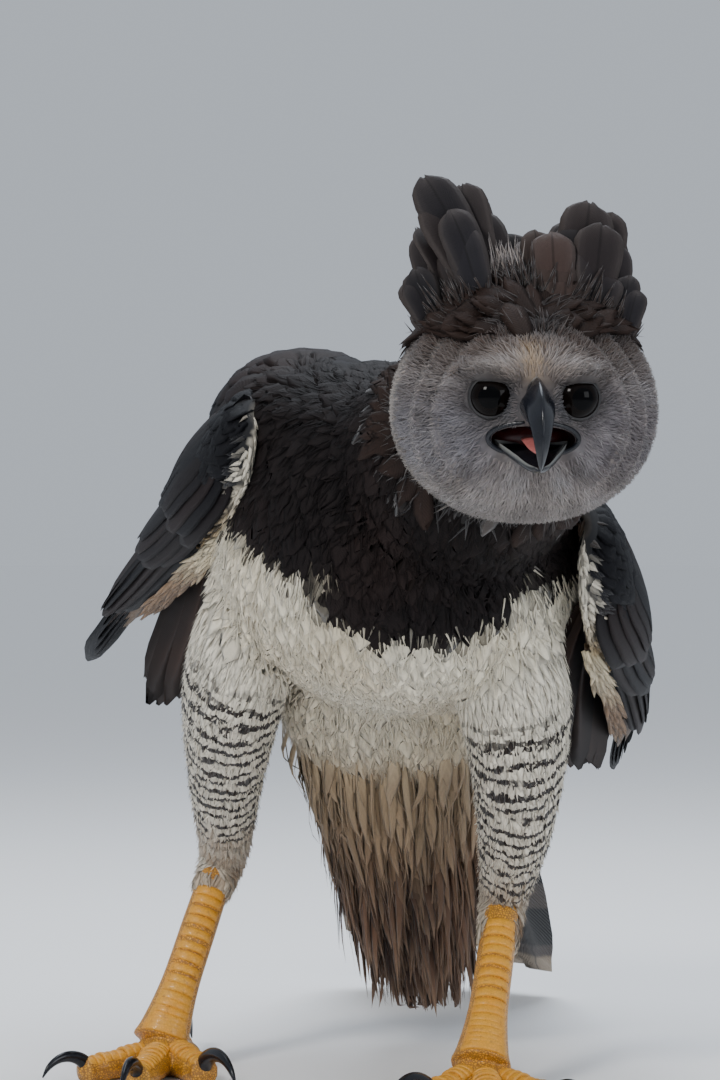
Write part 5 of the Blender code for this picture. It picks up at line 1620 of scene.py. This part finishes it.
def make_bill(hide):
    horn = horn_finish("bill horn", 0.1)
    rows = [(f, r, w, h, h) for f, r, w, h in UPPER_BILL]
    upper = piece_from("bill_hook", [head_tube(rows, 72, 56, shape=upper_bill_shape)], horn)
    points = places_of(upper)
    side, forward, raised = head_places(points)
    slot_forward, slot_raise = NOSTRIL
    past = forward - slot_forward
    off = np.sqrt((past / 0.34) ** 2 + ((raised - slot_raise - past * 0.4) / 0.45) ** 2)
    pit = np.clip(1.4 - off, 0, 1) * (abs(side) > 0.25)
    points = points - np.sign(side)[:, None] * HEAD_SIDE * (pit * 0.26)[:, None]
    put_points(upper.data, points)
    dull = step_between(5.9, 5.4, forward + 0.25 * raised)
    # The pale band along the top of the upper bill near its base is a painted highlight.
    tell_horn(upper, dull, step_between(1.8, 2.02, raised) * step_between(5.7, 5.2, forward) * 0.75, pit)
    rows = [(f, r, w, 0.3 * min(1.0, w), h) for f, r, w, h in LOWER_BILL]
    lower = piece_from("bill_scoop", [head_tube(rows, 48, 64, power=2.4, shape=lower_bill_shape)], horn)
    side, forward, raised = head_places(places_of(lower))
    middle = smooth_rows(LOWER_BILL, 60)
    line = np.interp(forward, middle[:, 0], middle[:, 1])
    half = np.interp(forward, middle[:, 0], middle[:, 2])
    tell_horn(lower, pale=step_between(0.0, 0.14, raised - line) * step_between(0.7, 0.85, abs(side) / half))
    forward, raised, wide, high, deep = GAPE
    axes = (HEAD_SIDE, HEAD_LOOK, HEAD_UP)
    lining = piece_from(
        "mouth_lining",
        [ball(on_head(0, forward - 2.1, raised - 0.1), axes, (wide + 0.1, 1.3, high + 0.2), 48, 24)],
        mouth_finish("mouth lining", rgb(34, 9, 9), rgb(86, 26, 24)),
    )
    pink = mouth_finish("tongue", rgb(150, 78, 76), rgb(186, 112, 106))
    tongue = piece_from("tongue_blade", [head_tube(TONGUE, 24, 24)], pink)
    lips = []
    for way in (-1, 1):
        rows = []
        for turn in np.linspace(0.42 * math.pi, -0.3 * math.pi, 12):
            out, up = math.cos(turn) * (wide + 0.2), math.sin(turn) * (high + 0.06)
            spot = on_head(way * out, 9.0, raised + up)
            met = hide.tree.ray_cast(spot.tolist(), (-HEAD_LOOK).tolist())[0]
            thin = 0.06 + 0.09 * math.cos(turn * 0.9)
            rows.append((*(spot if met is None else vec(met)), thin, thin, thin))
        lips.append(tube(rows, 36, 12, side=HEAD_LOOK))
    edge = piece_from("gape_edges", lips, horn)
    tell_horn(edge)
    return upper, lower, lining, tongue, edge


# ---------------------------------------------------------------- feet


def leg_line(side):
    """Rows of the bare leg down to the foot, as place, half width, front and back."""
    ankle, joint = vec(LEGS[side][3]), vec(LEGS[side][5])
    low = unit(joint - ankle)
    radius = TARSUS_RADIUS
    return [
        (*(ankle + (joint - ankle) * 0.08), radius * 0.85, radius * 0.95, radius * 0.95),
        (*(ankle + (joint - ankle) * 0.4), radius * 0.92, radius * 1.05, radius * 1.05),
        (*(ankle + (joint - ankle) * 0.75), radius * 0.98, radius * 1.05, radius * 1.05),
        (*(joint - low * 0.2), radius * 1.25, radius * 1.2, radius * 1.2),
        (*(joint + low * 1.0), radius * 1.5, radius * 1.3, radius * 1.3),
    ]


def toe_line(side, name, stations=8):
    """Rows of a toe and its direction."""
    turn, long, radius, _, _ = TOES[name]
    way = 1 if side == "right" else -1
    angle = math.radians((FOOT_TURN[side] - turn) * way)
    ahead = vec((math.sin(angle), -math.cos(angle), 0))
    joint = vec(LEGS[side][-1]) * vec((1, 1, 0))
    rows = []
    for k in range(stations):
        t = k / (stations - 1)
        slim = radius * (1.0 - 0.2 * t)
        place = joint + ahead * (TOE_START + (long - TOE_START) * t)
        place[2] = slim * TOE_HEIGHT * (1.35 - 0.35 * min(1.0, t * 2.2))
        r = slim * (1 + 0.08 * math.cos(t * 6 * math.pi))
        rows.append((*place, r, r * 0.98, r * 1.08))
    return rows, ahead


def scute_template(finish):
    """A plate that wraps the front of a round limb of radius one, highest at its far edge."""
    angles = np.radians(np.linspace(-62, 62, 11))
    rings = []
    for along, lift in ((-1.0, -0.06), (-0.9, 0.02), (-0.3, 0.06), (0.6, 0.09), (0.92, 0.06), (1.0, -0.06)):
        outer = []
        for a in angles:
            edge = 1 - (abs(a) / math.radians(62)) ** 6
            reach = 1 + lift * edge - 0.08 * (1 - edge)
            outer.append((math.sin(a) * reach, along + 0.12 * math.cos(a), math.cos(a) * reach))
        inner = [(math.sin(a) * 0.8, along * 0.8, math.cos(a) * 0.8) for a in angles[::-1]]
        rings.append(outer + inner)
    points, faces = loft(rings, np.mean(rings[0], axis=0), np.mean(rings[-1], axis=0))
    mesh = bpy.data.meshes.new("scute")
    mesh.from_pydata(points.tolist(), [], faces)
    face_outwards(mesh)
    mesh.materials.append(finish)
    return placed("scute", mesh)


def plates_tree():
    """Sets one plate at each point of a row, turned to the limb and sized to its radius."""
    tree = bpy.data.node_groups.new("plates on a limb", "GeometryNodeTree")
    face = tree.interface
    face.new_socket("Row", in_out="INPUT", socket_type="NodeSocketGeometry")
    face.new_socket("Plate", in_out="INPUT", socket_type="NodeSocketObject")
    face.new_socket("Finish", in_out="INPUT", socket_type="NodeSocketMaterial")
    face.new_socket("Plates", in_out="OUTPUT", socket_type="NodeSocketGeometry")
    nodes = tree.nodes
    given, result = nodes.new("NodeGroupInput"), nodes.new("NodeGroupOutput")
    points = nodes.new("GeometryNodeMeshToPoints")
    plate = nodes.new("GeometryNodeObjectInfo")
    turn = nodes.new("FunctionNodeAxesToRotation")
    turn.primary_axis, turn.secondary_axis = "Z", "Y"
    told = {}
    for name in ("out", "ahead", "size"):
        told[name] = nodes.new("GeometryNodeInputNamedAttribute")
        told[name].data_type = "FLOAT_VECTOR"
        told[name].inputs["Name"].default_value = name
    place = nodes.new("GeometryNodeInstanceOnPoints")
    real, cover = nodes.new("GeometryNodeRealizeInstances"), nodes.new("GeometryNodeSetMaterial")
    for source, out, target, into in (
        (given, "Row", points, "Mesh"),
        (given, "Plate", plate, "Object"),
        (told["out"], "Attribute", turn, "Primary Axis"),
        (told["ahead"], "Attribute", turn, "Secondary Axis"),
        (points, "Points", place, "Points"),
        (plate, "Geometry", place, "Instance"),
        (turn, "Rotation", place, "Rotation"),
        (told["size"], "Attribute", place, "Scale"),
        (place, "Instances", real, "Geometry"),
        (real, "Geometry", cover, "Geometry"),
        (given, "Finish", cover, "Material"),
        (cover, "Geometry", result, "Plates"),
    ):
        tree.links.new(source.outputs[out], target.inputs[into])
    return tree


def plates_on(name, spots, tree, template, finish):
    """Raised plates at spots of a limb, each given by its place, its outward and forward directions and its sizes."""
    mesh = bpy.data.meshes.new("rows")
    mesh.from_pydata([tuple((spot[0] - MIDDLE) * CM) for spot in spots], [], [])
    for key, column in (("out", 1), ("ahead", 2), ("size", 3)):
        values = np.array([spot[column] for spot in spots], float) * (CM if key == "size" else 1)
        mesh.attributes.new(key, "FLOAT_VECTOR", "POINT").data.foreach_set("vector", values.ravel())
    plates = placed(name, mesh)
    step = plates.modifiers.new("plates", "NODES")
    step.node_group = tree
    keys = {item.name: item.identifier for item in tree.interface.items_tree if item.in_out == "INPUT"}
    step[keys["Plate"]] = template
    step[keys["Finish"]] = finish
    settle(plates)
    return plates


def make_feet():
    """The bare legs and toes as one skin on each side, with raised scutes, and the talons."""
    scaly, smooth = foot_finish("scaly foot skin", 1.0), foot_finish("foot scutes", 0.25)
    talon = horn_finish("talon horn", 0.08)
    template = scute_template(smooth)
    tree = plates_tree()
    feet, talons = {}, []
    draw = np.random.default_rng(77)
    for side in LEGS:
        joint = LEGS[side][5]
        shapes = [tube(leg_line(side), 40, 32)]
        rows = [(joint[0], joint[1] + y, PAD_HEIGHT, wide, PAD_HEIGHT, PAD_HEIGHT + 0.2) for y, wide in PAD_ROWS]
        shapes.append(tube(rows, 24, 32, side=(-1, 0, 0), floor=True))
        spots = []
        ankle = vec(LEGS[side][3])
        low = unit(vec(joint) - ankle)
        front = unit(vec((0, -1, 0)) - low * -low[1])
        line = smooth_rows(leg_line(side), 101)
        count = 17
        for k in range(count):
            row = line[int(14 + 74 * k / (count - 1))]
            spots.append((row[:3], front, low, (row[3] * 1.03, 0.30 + 0.06 * draw.random(), row[4] * 1.03)))
        for name in TOES:
            rows, ahead = toe_line(side, name)
            right = np.cross(vec((0, 0, 1)), ahead)
            shapes.append(tube(rows, 32, 28, side=right, floor=True))
            line = smooth_rows(rows, 101)
            count = max(5, int(TOES[name][1] * 1.35))
            for k in range(count):
                row = line[int(12 + 80 * k / (count - 1))]
                half = 0.3 + 0.05 * draw.random()
                spots.append((row[:3], vec((0, 0, 1)), ahead, (row[3] * 1.02, half, row[4] * 1.04)))
            talons.append(claw_shape(side, name, rows, ahead, right))
        foot = piece_from(f"foot_{side}", shapes, None)
        melt(foot, FOOT_GRAIN, 4)
        points = places_of(foot)
        points[:, 2] = np.maximum(points[:, 2], 0.0)
        put_points(foot.data, points)
        wear(foot, scaly)
        scutes = plates_on(f"scutes_{side}", spots, tree, template, smooth)
        feet[side] = (foot, scutes)
    bpy.data.objects.remove(template, do_unlink=True)
    claws = piece_from("talons", [shape for shape, _ in talons], talon)
    share = np.concatenate([along for _, along in talons])
    tell_horn(claws, step_between(0.12, 0.02, share))
    return feet, claws


def claw_shape(side, name, toe_rows, ahead, right):
    """One curved talon, and how far along it each of its points lies."""
    _, _, _, claw_long, claw_radius = TOES[name]
    stations = 7
    arc = math.radians(CLAW_RISE - CLAW_DROP)
    stride = claw_long / (stations - 1)
    place = vec(toe_rows[-1][:3]) - ahead * 0.35 + vec((0, 0, 0.25))
    rows = []
    for k in range(stations):
        t = k / (stations - 1)
        lift = math.radians(CLAW_RISE) - arc * t
        r = claw_radius * (1 - t) ** 0.72 + 0.05
        rows.append((*place, r * 0.82, r, r))
        place = place + (ahead * math.cos(lift) + vec((0, 0, math.sin(lift)))) * stride
    shift = max(0.0, CLAW_CLEAR - min(row[2] - row[5] for row in rows))
    rows = [(x, y, z + shift, *sizes) for x, y, z, *sizes in rows]
    samples, sides = 30, 20
    shape = tube(rows, samples, sides, side=right)
    along = np.concatenate([np.repeat(np.linspace(0, 1, samples), sides), [0.0, 1.0]])
    return shape, along


# ---------------------------------------------------------------- studio


def make_studio():
    """A wide pale floor, soft lights and the camera."""
    mesh = bpy.data.meshes.new("studio_floor")
    corners = [(x * FLOOR_REACH, y * FLOOR_REACH, -FLOOR_DROP) for x, y in ((-1, -1), (1, -1), (1, 1), (-1, 1))]
    mesh.from_pydata(corners, [], [(0, 1, 2, 3)])
    mesh.materials.append(floor_finish())
    placed("studio_floor", mesh)

    world = bpy.data.worlds.new("studio")
    bpy.context.scene.world = world
    world.use_nodes = True
    background = world.node_tree.nodes["Background"].inputs
    background["Color"].default_value = (*SKY_COLOUR, 1.0)
    background["Strength"].default_value = SKY_STRENGTH
    for name, (place, aim, size, power, colour) in SOFT_LIGHTS.items():
        light = bpy.data.lights.new(name, "AREA")
        light.shape = "SQUARE"
        light.size = size
        light.energy = power
        light.color = colour
        lamp = placed(name, light)
        lamp.location = place
        lamp.rotation_euler = (Vector(aim) - Vector(place)).to_track_quat("-Z", "Y").to_euler()

    day = bpy.data.lights.new("day", "SUN")
    day.energy = DAY_STRENGTH
    day.angle = DAY_SOFTNESS
    day.color = DAY_COLOUR
    placed("day", day).rotation_euler = DAY_TURN

    lens = bpy.data.cameras.new("view")
    lens.sensor_width = SENSOR_WIDTH
    lens.lens = FOCAL_PIXELS * SENSOR_WIDTH / PICTURE_PIXELS
    camera = placed("view", lens)
    camera.location = ((vec(CAMERA_AT) - MIDDLE) * CM).tolist()
    camera.rotation_euler = (math.pi / 2, 0, 0)
    bpy.context.scene.camera = camera


# ---------------------------------------------------------------- putting it together


def keep(piece, slot, *nodes):
    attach(piece, "root")
    if nodes:
        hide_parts(*nodes)


make_studio()
skin = make_skin()
hide = Hide(skin)
learn(hide)
tell(skin.data, "tint", hide.known["tint"])
keep(skin, "dark_feathers", "torso", "neck", "head", "undertail", "thigh_left", "thigh_right")

COAT_SLOTS = {"face": "face_feathers", "crown": "face_feathers", "belly": "pale_feathers", "thigh": "barred_feathers"}
for coat_name, coat_piece in body_coat(hide).items():
    keep(coat_piece, COAT_SLOTS.get(coat_name.split("_")[0], "dark_feathers"))
for plume_piece in make_undertail(hide):
    keep(plume_piece, "pale_feathers")
for crest_piece in make_crest():
    keep(crest_piece, "dark_feathers")
for wing_side, wing_rows, wing_out in (("right", WING_RIGHT, -1), ("left", WING_LEFT, 1)):
    for number, wing_piece in enumerate(make_wing(wing_side, wing_rows, wing_out)):
        keep(wing_piece, "dark_feathers", *([f"wing_{wing_side}"] if number == 0 else []))
for number, tail_piece in enumerate(make_tail()):
    keep(tail_piece, "dark_feathers", *(["tail"] if number == 0 else []))

for eye_name, eye_piece in make_eyes().items():
    keep(eye_piece, "eye", *([eye_name] if eye_name in ("eye_left", "eye_right") else []))
bill_hook, bill_scoop, mouth_lining, tongue_blade, gape_edges = make_bill(hide)
keep(bill_hook, "horn", "bill_upper")
keep(bill_scoop, "horn", "bill_lower")
keep(gape_edges, "horn")
keep(mouth_lining, "mouth", "mouth")
keep(tongue_blade, "mouth", "tongue")

feet_pieces, talon_piece = make_feet()
for foot_side, (foot, scutes) in feet_pieces.items():
    keep(foot, "yellow_skin", f"tarsus_{foot_side}", *(f"{toe}_{foot_side}" for toe in TOES))
    keep(scutes, "yellow_skin")
keep(talon_piece, "horn", *(f"{toe}_claw_{foot_side}" for foot_side in LEGS for toe in TOES))
